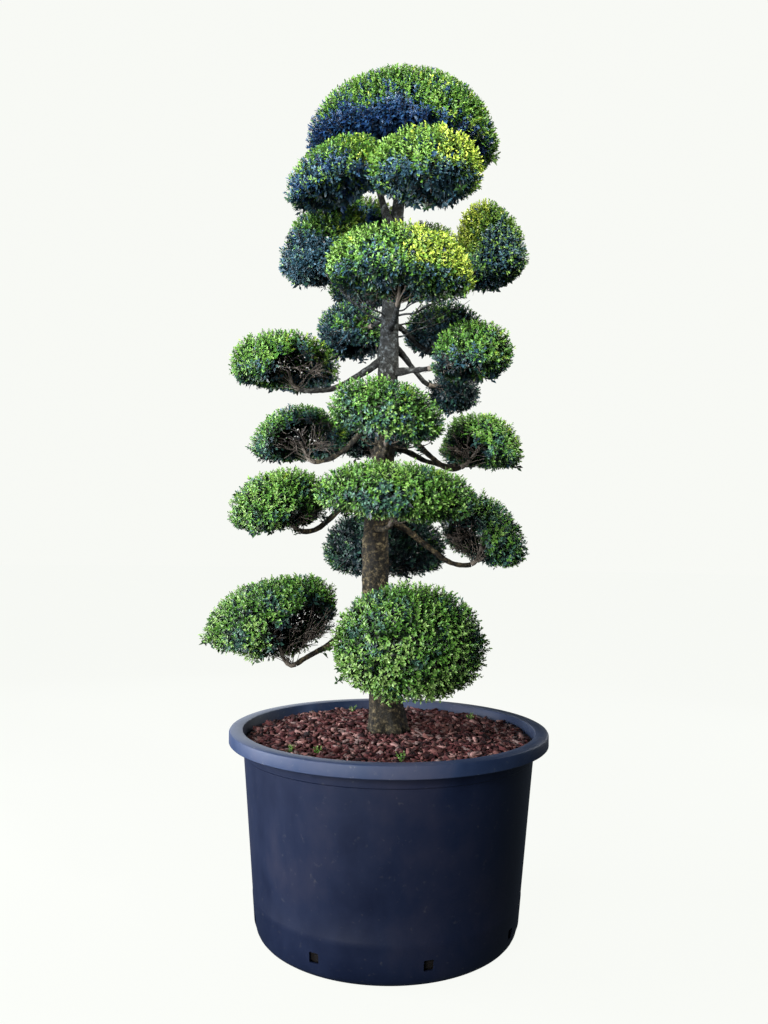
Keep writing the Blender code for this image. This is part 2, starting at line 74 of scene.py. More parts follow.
def addNode(made, kind, **values):
    node = made.node_tree.nodes.new("ShaderNode" + kind)
    for key, value in values.items():
        if hasattr(node, key):
            setattr(node, key, value)
        else:
            node.inputs[key.replace("_", " ")].default_value = value
    return node


def join(made, source, target):
    made.node_tree.links.new(source, target)


patternLook = {"detail": 6.0, "spotDetail": 4.0, "spotGrain": 0.6, "fineDetail": 8.0, "fineGrain": 0.65,
               "sheenFrom": 0.3, "sheenTo": 0.7}


def noiseShare(made, place, scale, detail, grain):
    pattern = addNode(made, "TexNoise", Scale=scale, Detail=detail, Roughness=grain)
    join(made, place, pattern.inputs["Vector"])
    return pattern.outputs["Fac"]


def rangedShare(made, value, low, high, toLow=0.0, toHigh=1.0):
    share = addNode(made, "MapRange", From_Min=low, From_Max=high, To_Min=toLow, To_Max=toHigh)
    join(made, value, share.inputs["Value"])
    return share.outputs["Result"]


def mixedColor(made, color, share, second, blend="MIX"):
    # The colour, turned to the second one as far as the share says
    mixed = addNode(made, "Mix", data_type="RGBA", blend_type=blend)
    join(made, share, mixed.inputs["Factor"])
    join(made, color, mixed.inputs[6])
    mixed.inputs[7].default_value = (*second, 1)
    return mixed.outputs[2]


def patternedMaterial(name, roughness, specular, colors, scale, bump, bumpScale, bumpDepth,
                      stretch=(1, 1, 1), grain=0.6, spots=None, above=None):
    # Noise on Object coordinates drives a ramp of colours, the roughness and a bump
    look = patternLook
    made = newMaterial(name, colors[0][1], roughness[0], specular)
    shader = made.node_tree.nodes["Principled BSDF"]
    place = addNode(made, "TexCoord").outputs["Object"]
    mapping = addNode(made, "Mapping", Scale=stretch)
    join(made, place, mapping.inputs["Vector"])
    stretched = mapping.outputs["Vector"]
    broad = noiseShare(made, stretched, scale, look["detail"], grain)
    ramp = addNode(made, "ValToRGB")
    steps = ramp.color_ramp.elements
    while len(steps) < len(colors):
        steps.new(0.5)
    for step, (where, color) in zip(steps, colors):
        step.position = where
        step.color = (*color, 1)
    join(made, broad, ramp.inputs["Fac"])
    color = ramp.outputs["Color"]
    if spots:
        pattern = noiseShare(made, place, spots["scale"], look["spotDetail"], look["spotGrain"])
        share = rangedShare(made, pattern, spots["from"], spots["to"], 0.0, spots["strength"])
        color = mixedColor(made, color, share, spots["color"])
    if above:
        # From a height upwards the colour is tinted; the uses below paint light and shade with it
        height = addNode(made, "SeparateXYZ")
        join(made, place, height.inputs[0])
        share = rangedShare(made, height.outputs["Z"], above["from"], above["to"])
        color = mixedColor(made, color, share, above["color"], "MULTIPLY")
    join(made, color, shader.inputs["Base Color"])
    sheen = rangedShare(made, broad, look["sheenFrom"], look["sheenTo"], *roughness)
    join(made, sheen, shader.inputs["Roughness"])
    relief = addNode(made, "Bump", Strength=bump, Distance=bumpDepth)
    fine = noiseShare(made, stretched, bumpScale, look["fineDetail"], look["fineGrain"])
    join(made, fine, relief.inputs["Height"])
    join(made, relief.outputs["Normal"], shader.inputs["Normal"])
    return made


# Pieces and meshes

def finishPiece(piece, slot, *replaced):
    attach(piece, "root")
    if replaced:
        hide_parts(*replaced)


def pieceFromBmesh(name, builder, materials, smooth=True, sharpAngle=None):
    mesh = bpy.data.meshes.new(name)
    builder.to_mesh(mesh)
    builder.free()
    return pieceFromMesh(name, mesh, materials, smooth, sharpAngle)


def pieceFromMesh(name, mesh, materials, smooth=True, sharpAngle=None):
    for made in materials:
        mesh.materials.append(made)
    if smooth:
        mesh.shade_smooth()
    if sharpAngle:
        mesh.set_sharp_from_angle(angle=math.radians(sharpAngle))
    piece = bpy.data.objects.new(name, mesh)
    scene.collection.objects.link(piece)
    return piece


def meshFromArrays(name, corners, faceGroups):
    # faceGroups holds (faces, material numbers) arrays, each with faces of one number of corners
    mesh = bpy.data.meshes.new(name)
    mesh.vertices.add(len(corners))
    mesh.vertices.foreach_set("co", np.ascontiguousarray(corners, dtype=np.float32).ravel())
    loops = np.concatenate([faces.ravel() for faces, _ in faceGroups]).astype(np.int32)
    sizes = np.concatenate([np.full(len(faces), faces.shape[1]) for faces, _ in faceGroups])
    starts = np.concatenate([[0], np.cumsum(sizes)[:-1]]).astype(np.int32)
    shades = np.concatenate([shade for _, shade in faceGroups]).astype(np.int32)
    mesh.loops.add(len(loops))
    mesh.loops.foreach_set("vertex_index", loops)
    mesh.polygons.add(len(sizes))
    mesh.polygons.foreach_set("loop_start", starts)
    mesh.polygons.foreach_set("material_index", shades)
    mesh.update(calc_edges=True)
    return mesh


def joinedMesh(name, parts):
    # One mesh of many parts, each of them its corners and its face groups
    groups, base = [], 0
    for corners, partGroups in parts:
        groups += [(faces + base, shades) for faces, shades in partGroups]
        base += len(corners)
    return meshFromArrays(name, np.concatenate([corners for corners, _ in parts]), groups)


def triangleCount(mesh):
    return len(mesh.loops) - 2 * len(mesh.polygons)


def applyModifiers(piece):
    depsgraph = bpy.context.evaluated_depsgraph_get()
    mesh = bpy.data.meshes.new_from_object(piece.evaluated_get(depsgraph))
    piece.modifiers.clear()
    piece.data = mesh


# The pot: a moulded tub with a flat rim, a turned-down lip, a stepped band and square drain holes

potShape = {
    "height": 0.560, "footRadius": 0.366, "topRadius": 0.417, "wall": 0.006, "footRounding": 0.033,
    "footTurn": 84.0, "footSteps": 6, "standInner": 0.300, "standOuter": 0.306, "softening": 0.002,
    "rimRadius": 0.450, "rimDepth": 0.034, "rimThickness": 0.006, "bandHeight": 0.030, "bandStep": 0.003,
    "wallRings": (0.043, 0.074, 0.100, 0.1165, 0.1185, 0.200, 0.300, 0.400),
    "mouldHeight": 0.1175, "mouldStep": 0.0008, "segments": 144, "sharpAngle": 50, "holeSharpAngle": 35,
    "holes": 8, "holeSize": 0.027, "holeDepth": 0.03, "holeRounding": 0.003, "holeHeight": 0.058,
    "holeTurn": -28.5,
}


def potRadius(height):
    foot, top = potShape["footRadius"], potShape["topRadius"]
    return foot + (top - foot) * height / potShape["height"]


def potProfile():
    shape = potShape
    top = shape["height"]
    underRim = top - shape["rimThickness"]
    lipFoot = top - shape["rimDepth"]
    bandFoot = lipFoot - shape["bandHeight"]
    wall = shape["wall"]
    rim, rimInside = shape["rimRadius"], shape["rimRadius"] - wall
    inside = potRadius(top) - wall
    soft = shape["softening"]
    points = [(0.0, 2 * soft), (shape["standInner"], 2 * soft), (shape["standOuter"], 0.0)]
    for step in range(shape["footSteps"] + 1):
        angle = math.radians(shape["footTurn"]) * step / shape["footSteps"]
        points.append((shape["footRadius"] + shape["footRounding"] * (math.sin(angle) - 1),
                       shape["footRounding"] * (1 - math.cos(angle))))
    for height in shape["wallRings"]:
        mouldStep = shape["mouldStep"] if height < shape["mouldHeight"] else 0.0
        points.append((potRadius(height) - shape["bandStep"] * height / bandFoot + mouldStep, height))
    points += [(potRadius(bandFoot) - shape["bandStep"], bandFoot - shape["bandStep"]),
               (potRadius(bandFoot), bandFoot),
               (potRadius(underRim), underRim - 2 * soft),
               (potRadius(underRim) + 2 * soft, underRim),
               (rimInside, underRim),
               (rimInside, lipFoot + soft / 2),
               (rimInside + soft, lipFoot),
               (rim - soft, lipFoot),
               (rim, lipFoot + soft),
               (rim, top - 3 * soft),
               (rim - soft, top - soft),
               (rim - 3 * soft, top),
               (inside + 3 * soft, top),
               (inside + soft, top - soft / 2),
               (inside, top - 2.5 * soft),
               (potRadius(shape["footRounding"]) - wall, shape["footRounding"]),
               (shape["footRadius"] - shape["footRounding"], wall + 2 * soft),
               (0.0, wall + 2 * soft)]
    return points


def turned(builder, profile, segments):
    corners = [builder.verts.new((radius, 0, height)) for radius, height in profile]
    edges = [builder.edges.new(pair) for pair in zip(corners, corners[1:])]
    bmesh.ops.spin(builder, geom=corners + edges, axis=(0, 0, 1), cent=(0, 0, 0), angle=math.tau,
                   steps=segments, use_merge=True)
    bmesh.ops.remove_doubles(builder, verts=builder.verts, dist=1e-6)
    bmesh.ops.dissolve_degenerate(builder, edges=builder.edges, dist=1e-6)
    bmesh.ops.recalc_face_normals(builder, faces=builder.faces)


def makePot():
    builder = bmesh.new()
    turned(builder, potProfile(), potShape["segments"])
    # From just below the lip upwards the tint makes the whole rim lighter: a painted highlight of the sky on
    # it
    plastic = patternedMaterial(
        "potPlastic", (0.40, 0.56), 0.14,
        ((0.38, (0.0034, 0.0062, 0.0190)), (0.50, (0.0053, 0.0090, 0.0250)),
         (0.66, (0.0115, 0.0135, 0.0290))),
        scale=4.0, stretch=(1, 1, 0.7), bump=0.12, bumpScale=90.0, bumpDepth=0.0015,
        spots={"scale": 60.0, "from": 0.63, "to": 0.80, "strength": 0.25, "color": (0.09, 0.09, 0.09)},
        above={"from": 0.522, "to": 0.528, "color": (3.3, 3.3, 2.7)})
    pot = pieceFromBmesh("nurseryPot", builder, [plastic], sharpAngle=potShape["sharpAngle"])
    cutters = bmesh.new()
    size, height = potShape["holeSize"], potShape["holeHeight"]
    for index in range(potShape["holes"]):
        angle = math.radians(potShape["holeTurn"]) + math.tau * index / potShape["holes"]
        place = Matrix.Rotation(angle, 4, "Z") @ Matrix.Translation((0, -potRadius(height), height))
        shape = Matrix.Diagonal((size, potShape["holeDepth"], size, 1))
        bmesh.ops.create_cube(cutters, size=1.0, matrix=place @ shape)
    bmesh.ops.bevel(cutters, geom=list(cutters.edges), offset=potShape["holeRounding"], affect="EDGES",
                    segments=3, profile=0.5, material=-1)
    cutter = pieceFromBmesh("drainHoles", cutters, [plastic])
    hole = pot.modifiers.new("drain holes", "BOOLEAN")
    hole.operation = "DIFFERENCE"
    hole.object = cutter
    applyModifiers(pot)
    bpy.data.objects.remove(cutter)
    pot.data.set_sharp_from_angle(angle=math.radians(potShape["holeSharpAngle"]))
    finishPiece(pot, "pot", "pot")
    print("pot made")


makePot()


# Potting mix with bark chips and a few small weeds on it

soilShape = {"top": 0.542, "fall": 0.013, "flatRadius": 0.085, "rings": 40, "segments": 96, "relief": 0.006,
             "reliefScale": 28.0, "reliefLevel": 0.4, "calmEdge": 0.02, "topFrom": 0.5, "gap": 0.0008,
             "shoulder": 0.05, "shoulderGap": 0.001, "floor": 0.012, "floorGap": 0.006}
chipLook = {"count": 4600, "seed": 11, "lengths": (0.009, 0.042), "lengthPower": 1.9,
            "widths": (0.005, 0.016), "widest": 0.7, "thickness": (0.003, 0.007), "tilt": 0.55, "pitch": 0.5,
            "lift": (-0.002, 0.007), "edgeMargin": 0.012, "endMargin": 0.004, "innerArea": 0.018,
            "uneven": (-0.45, 0.25)}
# Each colour with its share of the chips
chipColors = (((0.062, 0.019, 0.019), 0.28), ((0.106, 0.046, 0.041), 0.22), ((0.030, 0.008, 0.009), 0.20),
              ((0.200, 0.112, 0.102), 0.10), ((0.010, 0.003, 0.004), 0.12), ((0.130, 0.088, 0.083), 0.08))
weedLook = {"places": ((-0.255, -0.235), (-0.185, -0.262), (0.030, -0.330), (0.250, 0.200), (-0.120, 0.300)),
            "seed": 23, "shoots": 4, "lean": (0.2, 0.7), "reach": 0.028, "reachShare": (0.6, 1.1),
            "level": 4.6, "size": 0.75}


def soilEdge(gap):
    return potRadius(soilShape["top"] - soilShape["fall"]) - potShape["wall"] - gap


def soilHeight(radius):
    share = (radius - soilShape["flatRadius"]) / (soilEdge(0.0) - soilShape["flatRadius"])
    return soilShape["top"] - soilShape["fall"] * min(max(share, 0), 1) ** 2


def makeSoil():
    look = soilShape
    builder = bmesh.new()
    edge = soilEdge(look["gap"])
    profile = [(edge * ring / look["rings"], soilHeight(edge * ring / look["rings"]))
               for ring in range(look["rings"] + 1)]
    profile += [(potRadius(look["shoulder"]) - potShape["wall"] - look["shoulderGap"], look["shoulder"]),
                (potShape["footRadius"] - potShape["footRounding"] - look["floorGap"], look["floor"]),
                (0.0, look["floor"])]
    turned(builder, profile, look["segments"])
    for vertex in builder.verts:
        if vertex.co.z > look["topFrom"]:
            radius = math.hypot(vertex.co.x, vertex.co.y)
            calm = min(1.0, (edge - radius) / look["calmEdge"])
            lump = noise.fractal(vertex.co * look["reliefScale"], 1.0, 2.0, 3) - look["reliefLevel"]
            vertex.co.z += look["relief"] * calm * lump
    # Below its top the mix is ten times darker than on it: painted shade inside the pot, seen through the
    # drain holes
    mix = patternedMaterial("pottingMix", (0.85, 0.98), 0.25,
                            ((0.30, (0.0008, 0.0004, 0.0004)), (0.55, (0.0026, 0.0011, 0.0010)),
                             (0.75, (0.0060, 0.0026, 0.0020))),
                            scale=60.0, bump=0.9, bumpScale=160.0, bumpDepth=0.006,
                            above={"from": 0.35, "to": 0.50, "color": (10.0, 10.0, 10.0)})
    finishPiece(pieceFromBmesh("pottingMix", builder, [mix]), "soil", "soil")


def makeChips():
    # Split flakes of bark: a box of eight corners, each pushed a little off its place
    look = chipLook
    rng = np.random.default_rng(look["seed"])
    count = look["count"]
    edge = soilEdge(soilShape["gap"])
    radius = (edge - look["edgeMargin"]) * np.sqrt(rng.uniform(look["innerArea"], 1, count))
    angle = rng.uniform(0, math.tau, count)
    shortest, longest = look["lengths"]
    length = rng.uniform(0, 1, count) ** look["lengthPower"] * (longest - shortest) + shortest
    width = np.minimum(rng.uniform(*look["widths"], count), length * look["widest"])
    thick = rng.uniform(*look["thickness"], count)
    radius = np.minimum(radius, edge - look["endMargin"] - length / 2)
    height = np.array([soilHeight(value) for value in radius]) + rng.uniform(*look["lift"], count)
    middle = np.stack([radius * np.cos(angle), radius * np.sin(angle), height], axis=1)
    heading = rng.uniform(0, math.tau, count)
    pitch = rng.normal(0, look["tilt"] * look["pitch"], count)
    roll = rng.normal(0, look["tilt"], count)
    along = np.stack([np.cos(heading) * np.cos(pitch), np.sin(heading) * np.cos(pitch), np.sin(pitch)],
                     axis=1)
    side = unit(np.cross(np.array([0, 0, 1.0]), along))
    upward = np.cross(along, side)
    across = side * np.cos(roll)[:, None] + upward * np.sin(roll)[:, None]
    through = np.cross(along, across)
    square = ((-0.5, -0.5), (0.5, -0.5), (0.5, 0.5), (-0.5, 0.5))
    box = np.array([(x, y, z) for z in (-0.5, 0.5) for x, y in square])
    shape = box[None] * (1 + rng.uniform(*look["uneven"], (count, 8, 3)))
    corners = (middle[:, None] + along[:, None] * (shape[:, :, :1] * length[:, None, None])
               + across[:, None] * (shape[:, :, 1:2] * width[:, None, None])
               + through[:, None] * (shape[:, :, 2:] * thick[:, None, None]))
    faces = np.array([(0, 3, 2, 1), (4, 5, 6, 7), (0, 1, 5, 4), (1, 2, 6, 5), (2, 3, 7, 6), (3, 0, 4, 7)])
    allFaces = (np.arange(count)[:, None, None] * 8 + faces[None]).reshape(-1, 4)
    shares = [share for _, share in chipColors]
    shade = rng.choice(len(chipColors), count, p=shares).repeat(len(faces))
    mesh = meshFromArrays("barkChips", corners.reshape(-1, 3), [(allFaces, shade)])
    materials = [newMaterial(f"barkChip{index}", color, 0.90, 0.15)
                 for index, (color, _) in enumerate(chipColors)]
    finishPiece(pieceFromMesh("barkChips", mesh, materials, smooth=False), "soil")


# Sprays of small oval leaves, folded along the middle

leafLook = {"length": 0.0108, "width": 0.0050, "fold": 0.30, "curl": 0.10, "perShoot": 19, "spacing": 0.0020,
            "openTip": 0.50, "openFoot": 1.35, "openPower": 0.6, "openScatter": 0.28, "turnScatter": 0.30,
            "sizes": (0.72, 1.22), "tipLeaves": 3, "tipSize": 0.75, "outer": 3, "shaded": 6,
            "shadedSize": 1.70, "newLeaves": 4, "newShare": 0.45, "newPaler": 0.8, "levelScatter": 1.0,
            "inwardShade": 2.2, "deepest": (0.5, 1.7, 0.3, 2.1, 2.1, 0.9), "deepestScatter": 0.8}
# "deepest" gives a spray's innermost leaves their level of painted shade, one for each ramp below. The
# outlines give each corner's share of the leaf's length and of its half width, for leaves at the tip and
# deeper ones.
outerOutline = ((0.0, 0.0), (0.28, -0.94), (0.72, -0.90), (1.0, 0.0), (0.72, 0.90), (0.28, 0.94))
innerOutline = ((0.0, 0.0), (0.52, -1.05), (1.0, 0.0), (0.52, 1.05))
# Lit and shaded copies of one leaf green: blue and teal ones paint shade, lime and gold paint sunlight
leafColors = {
    "leafNavy": (0.005, 0.023, 0.080),
    "leafDusk": (0.012, 0.041, 0.098),
    "leafHaze": (0.038, 0.086, 0.124),
    "leafSlate": (0.016, 0.044, 0.062),
    "leafInk": (0.005, 0.015, 0.020),
    "leafPine": (0.018, 0.052, 0.040),
    "leafTeal": (0.040, 0.102, 0.066),
    "leafNight": (0.003, 0.010, 0.003),
    "leafDeep": (0.010, 0.034, 0.006),
    "leafShade": (0.030, 0.086, 0.013),
    "leafGreen": (0.052, 0.147, 0.018),
    "leafSpring": (0.076, 0.176, 0.024),
    "leafFresh": (0.108, 0.206, 0.031),
    "leafPale": (0.144, 0.240, 0.062),
    "leafLime": (0.172, 0.262, 0.028),
    "leafGold": (0.300, 0.368, 0.048),
}
# Painted shade to painted light: navy is the shade at the crown's top, slate halfway up and teal low down
leafRamps = {
    "plain": ("leafNight", "leafDeep", "leafShade", "leafGreen", "leafSpring", "leafPale"),
    "navy": ("leafNavy", "leafNavy", "leafDusk", "leafDusk", "leafDusk", "leafHaze"),
    "teal": ("leafInk", "leafPine", "leafTeal", "leafTeal", "leafGreen", "leafPale"),
    "gold": ("leafShade", "leafGreen", "leafFresh", "leafLime", "leafLime", "leafGold"),
    "sunny": ("leafDeep", "leafShade", "leafGreen", "leafSpring", "leafFresh", "leafFresh"),
    "slate": ("leafInk", "leafSlate", "leafSlate", "leafHaze", "leafTeal", "leafFresh"),
}
rampNumber = {name: number for number, name in enumerate(leafRamps)}
rampTable = np.array([[list(leafColors).index(name) for name in ramp] for ramp in leafRamps.values()])


def unit(vectors):
    return vectors / np.maximum(np.linalg.norm(vectors, axis=-1, keepdims=True), 1e-9)


def crossFrame(axes):
    # Two directions square to each axis
    helper = np.where(np.abs(axes[..., 2:]) < 0.9, np.array([0, 0, 1.0]), np.array([1.0, 0, 0]))
    side = unit(np.cross(axes, helper))
    return side, np.cross(axes, side)


def leafArrays(tips, axes, ramps, levels, sizes, rng, each=leafLook["perShoot"], outer=leafLook["outer"]):
    # Corners, faces and colours of the leaves set in a spiral on the ends of shoots
    look = leafLook
    count = len(tips)
    order = np.arange(each)[None]
    turn = (rng.uniform(0, math.tau, count)[:, None] + order * goldenAngle
            + rng.normal(0, look["turnScatter"], (count, each)))
    side, other = crossFrame(axes)
    radial = side[:, None] * np.cos(turn)[..., None] + other[:, None] * np.sin(turn)[..., None]
    share = (order / (each - 1)) ** look["openPower"]
    opening = (look["openTip"] + (look["openFoot"] - look["openTip"]) * share
               + rng.normal(0, look["openScatter"], (count, each)))[..., None]
    along = axes[:, None] * np.cos(opening) + radial * np.sin(opening)
    face = axes[:, None] * np.sin(opening) - radial * np.cos(opening)
    across = np.cross(face, along)
    shaded = order >= each - look["shaded"]
    grown = np.where(order < look["tipLeaves"], look["tipSize"], np.where(shaded, look["shadedSize"], 1.0))
    length = look["length"] * sizes[:, None] * rng.uniform(*look["sizes"], (count, each)) * grown
    length = length[..., None, None]
    width = length * look["width"] / look["length"] / 2
    root = tips[:, None] - axes[:, None] * (order * look["spacing"])[..., None]
    # Young leaves at the tip are paler, and the inner ones of a spray darker with painted shade
    newer = (order < look["newLeaves"]) & (rng.uniform(0, 1, (count, 1)) < look["newShare"])
    level = (levels[:, None] + look["newPaler"] * newer + rng.normal(0, look["levelScatter"], (count, each))
             - look["inwardShade"] * order / each)
    # The innermost are the darkest, painted shade that is lighter where the sun or the sky reaches in
    ramps = ramps[:, None]
    scatter = look["deepestScatter"]
    deepest = np.array(look["deepest"])[ramps] + rng.uniform(-scatter, scatter, (count, each))
    level = np.where(shaded, deepest, level)
    shade = rampTable[ramps, np.clip(np.round(level), 0, rampTable.shape[1] - 1).astype(int)]
    parts = []
    for outline, picked in ((outerOutline, slice(0, outer)), (innerOutline, slice(outer, None))):
        ahead, aside = np.array(outline).T[:, None, None, :, None]
        wide, long = width[:, picked], length[:, picked]
        corners = (root[:, picked, None] + along[:, picked, None] * (ahead * long)
                   + across[:, picked, None] * (aside * wide)
                   + face[:, picked, None] * (np.abs(aside) * wide * look["fold"]
                                              - look["curl"] * ahead ** 2 * long)).reshape(-1, 3)
        size = len(outline)
        half = size // 2 + 1
        faces = np.array([tuple(range(half)), (0, *range(half - 1, size))])
        allFaces = (np.arange(0, len(corners), size)[:, None, None] + faces[None]).reshape(-1, half)
        parts.append((corners, [(allFaces, shade[:, picked].reshape(-1).repeat(2))]))
    return parts


def makeWeeds(materials):
    look = weedLook
    rng = np.random.default_rng(look["seed"])
    tips, axes = [], []
    for x, y in look["places"]:
        ground = soilHeight(math.hypot(x, y))
        for index in range(look["shoots"]):
            angle = index * goldenAngle
            lean = rng.uniform(*look["lean"])
            axis = np.array([math.cos(angle) * lean, math.sin(angle) * lean, 1.0])
            axis /= np.linalg.norm(axis)
            tips.append(np.array([x, y, ground]) + axis * look["reach"] * rng.uniform(*look["reachShare"]))
            axes.append(axis)
    count = len(tips)
    leaves = leafArrays(np.array(tips), np.array(axes), np.zeros(count, int), np.full(count, look["level"]),
                        np.full(count, look["size"]), rng)
    finishPiece(pieceFromMesh("weeds", joinedMesh("weeds", leaves), materials, smooth=False), "foliage")


leafMaterials = [newMaterial(name, color, 0.46, 0.32) for name, color in leafColors.items()]
makeSoil()
makeChips()
makeWeeds(leafMaterials)
print("potting mix, bark chips and weeds made")


# The plant's plan, in metres and degrees: tiers are numbered from the ground, and "back" is away from the
# camera. "open" is the side where a pad is bare and shows its twigs, "openFrom" the cosine where that starts
# and "bare" how bare it is there. "dim" paints shade over all of a pad's leaves and "tone" over only its
# painted sunlit ones, and below 0 they paint light instead. "sun" adds painted sunlit yellow leaves on the
# sunny side, or takes them away below 0, and "shade" is the light at which that side starts. "side" is 1
# where the side light comes from the right, and -1 where from the left.

trunkPlan = ((0.5423, -0.004, 0.060), (0.570, -0.005, 0.053), (0.620, -0.010, 0.048), (0.760, -0.030, 0.043),
             (0.970, -0.046, 0.038), (1.120, -0.047, 0.037), (1.230, -0.036, 0.032), (1.350, -0.024, 0.029),
             (1.600, -0.018, 0.028), (1.750, -0.014, 0.024), (1.900, -0.008, 0.021), (2.060, 0.006, 0.018),
             (2.190, 0.012, 0.014))

padDefaults = {"slope": 0.0, "lean": 0.0, "square": 2.3, "under": 2.3, "leaves": 0.0, "parting": 0.0,
               "share": 0.5, "drop": None, "climb": 15.0, "bough": 0.011, "bare": 0.9, "open": None,
               "openFrom": 0.72, "dim": 0.0, "tone": 0.0, "sun": 0.0, "shade": 0.10, "side": 1}
padPlan = {
    "1_left": dict(middle=(-0.345, -0.03, 0.842), half=(0.190, 0.190), up=0.145, down=0.106, slope=6.5,
                   lean=0.24, under=1.55, leaves=0.900, parting=-45, share=0.41, drop=0.116, climb=-33,
                   open=(0.70, -0.52, -0.48), openFrom=0.53, bare=0.98, dim=0.2),
    "1_front": dict(middle=(0.049, -0.28, 0.815), half=(0.200, 0.180), up=0.170, down=0.142, square=2.1,
                    under=2.0, leaves=0.800, share=1.04, drop=0.015, climb=5,
                    open=(0.0, 0.5, -1.0), openFrom=0.95, bare=0.3, dim=-0.2, tone=-0.2),
    "1_back": dict(middle=(0.045, 0.29, 0.740), half=(0.195, 0.195), up=0.175, down=0.105, square=2.2,
                   leaves=0.735, share=1.04, drop=0.0, climb=5,
                   open=(0.0, -0.5, -1.0), openFrom=0.85, bare=0.5, dim=0.5),
    "2_front": dict(middle=(0.010, -0.28, 1.190), half=(0.215, 0.155), up=0.105, down=0.055, slope=-4,
                    square=2.5, leaves=1.125, openFrom=0.85, tone=0.3),
    "2_left": dict(middle=(-0.325, -0.06, 1.160), half=(0.135, 0.165), up=0.130, down=0.050, slope=8,
                   lean=0.10, leaves=1.255, open=(0.75, -0.40, -0.50), openFrom=0.68),
    "2_back": dict(middle=(-0.025, 0.25, 1.050), half=(0.200, 0.170), up=0.145, down=0.080, leaves=0.990,
                   open=(0.0, -0.6, -0.8), openFrom=0.45, bare=0.6, dim=2.3),
    "2_right": dict(middle=(0.265, -0.03, 1.092), half=(0.125, 0.160), up=0.135, down=0.070, slope=-14,
                    lean=-0.18, leaves=1.150, share=0.30, open=(-0.75, -0.58, -0.40), openFrom=0.48,
                    bare=0.95, dim=1.2),
    "3_front": dict(middle=(-0.015, -0.28, 1.400), half=(0.155, 0.135), up=0.110, down=0.050, slope=-8,
                    leaves=1.335, openFrom=0.83, dim=0.5, tone=0.8),
    "3_left": dict(middle=(-0.285, 0.06, 1.365), half=(0.145, 0.165), up=0.122, down=0.044, slope=4,
                   lean=0.12, leaves=1.480, parting=-45, share=0.40, climb=0,
                   open=(0.40, -0.80, -0.40), openFrom=0.42, bare=1.0, dim=0.8),
    "3_right": dict(middle=(0.260, -0.02, 1.350), half=(0.115, 0.155), up=0.110, down=0.050, slope=-8,
                    lean=-0.10, leaves=1.415, share=0.55, climb=25,
                    open=(-0.78, -0.55, -0.35), openFrom=0.50, bare=0.97, tone=0.2),
    "3_back": dict(middle=(-0.070, 0.30, 1.425), half=(0.135, 0.145), up=0.100, down=0.070, square=2.2,
                   leaves=1.400, dim=1.6),
    "3_back_right": dict(middle=(0.240, 0.27, 1.380), half=(0.095, 0.120), up=0.075, down=0.040,
                         leaves=1.365, bough=0.010, dim=0.8),
    "4_left": dict(middle=(-0.310, -0.04, 1.565), half=(0.160, 0.175), up=0.115, down=0.040, square=2.4,
                   leaves=1.630, parting=-40, share=0.25, climb=8,
                   open=(0.58, -0.62, -0.53), openFrom=0.42, bare=0.92, tone=0.9, sun=0.25),
    "4_right": dict(middle=(0.215, -0.11, 1.588), half=(0.118, 0.140), up=0.115, down=0.050, slope=4,
                    leaves=1.580, share=1.06, drop=0.0, climb=5,
                    open=(-0.55, -0.50, -0.70), openFrom=0.60, bare=0.85, tone=2.2),
    "4_low": dict(middle=(0.184, 0.14, 1.545), half=(0.086, 0.105), up=0.085, down=0.060, square=2.2,
                  leaves=1.660, share=1.08, drop=-0.015, climb=-15, bough=0.010,
                  open=(-0.30, -0.60, -0.30), openFrom=0.10, bare=0.45, dim=2.0),
    "4_back_left": dict(middle=(-0.135, 0.23, 1.730), half=(0.120, 0.145), up=0.115, down=0.050,
                        leaves=1.745, share=1.06, drop=-0.010, climb=0, bough=0.010, dim=1.5),
    "4_back_right": dict(middle=(0.160, 0.23, 1.740), half=(0.135, 0.150), up=0.110, down=0.050,
                         leaves=1.725, bough=0.008, dim=1.5),
    "5_front": dict(middle=(0.015, -0.30, 1.770), half=(0.195, 0.160), up=0.125, down=0.050, slope=-4,
                    square=2.4, leaves=1.705, openFrom=0.84, dim=-0.6, tone=0.2, sun=0.75, shade=-0.05),
    "5_left": dict(middle=(-0.210, 0.06, 1.935), half=(0.140, 0.130), up=0.165, down=0.080, slope=10,
                   lean=0.08, leaves=1.850, share=0.80, drop=0.070, climb=20, openFrom=0.84, dim=0.5,
                   tone=0.7, shade=0.25),
    "5_back_left": dict(middle=(-0.110, 0.31, 1.905), half=(0.110, 0.130), up=0.090, down=0.045,
                        leaves=1.860, bough=0.010),
    "5_right": dict(middle=(0.285, -0.02, 1.905), half=(0.105, 0.140), up=0.180, down=0.080, lean=-0.32,
                    square=2.2, leaves=1.830, share=0.85, drop=0.060, openFrom=0.86,
                    dim=-1.2, sun=1.0, shade=0.38, side=-1),
    "5_back": dict(middle=(0.115, 0.22, 1.975), half=(0.120, 0.145), up=0.120, down=0.055, slope=-10,
                   leaves=1.885, bough=0.010),
    "6_left": dict(middle=(-0.170, -0.17, 2.062), half=(0.140, 0.130), up=0.113, down=0.032, slope=20,
                   lean=0.08, leaves=1.990, share=1.12, drop=-0.005, climb=30, bough=0.016,
                   open=(0.70, -0.30, -0.60), openFrom=0.80, dim=-2.0, tone=3.9, shade=0.30),
    "6_front": dict(middle=(0.075, -0.36, 2.005), half=(0.150, 0.135), up=0.115, down=0.055, square=2.4,
                    leaves=2.110, share=1.02, drop=-0.020, climb=-10, openFrom=0.88, bare=0.7,
                    dim=-0.7, sun=0.75, shade=0.0),
    "6_back": dict(middle=(-0.120, 0.29, 2.130), half=(0.150, 0.140), up=0.070, down=0.035, square=2.2,
                   leaves=2.045, bough=0.010),
    "7_cap": dict(middle=(0.010, 0.02, 2.245), half=(0.290, 0.280), up=0.212, down=0.020, square=2.05,
                  lean=0.07, open=(0.0, 0.0, -1.0), openFrom=0.93, dim=0.2, tone=1.3, sun=-0.5, shade=0.14),
}

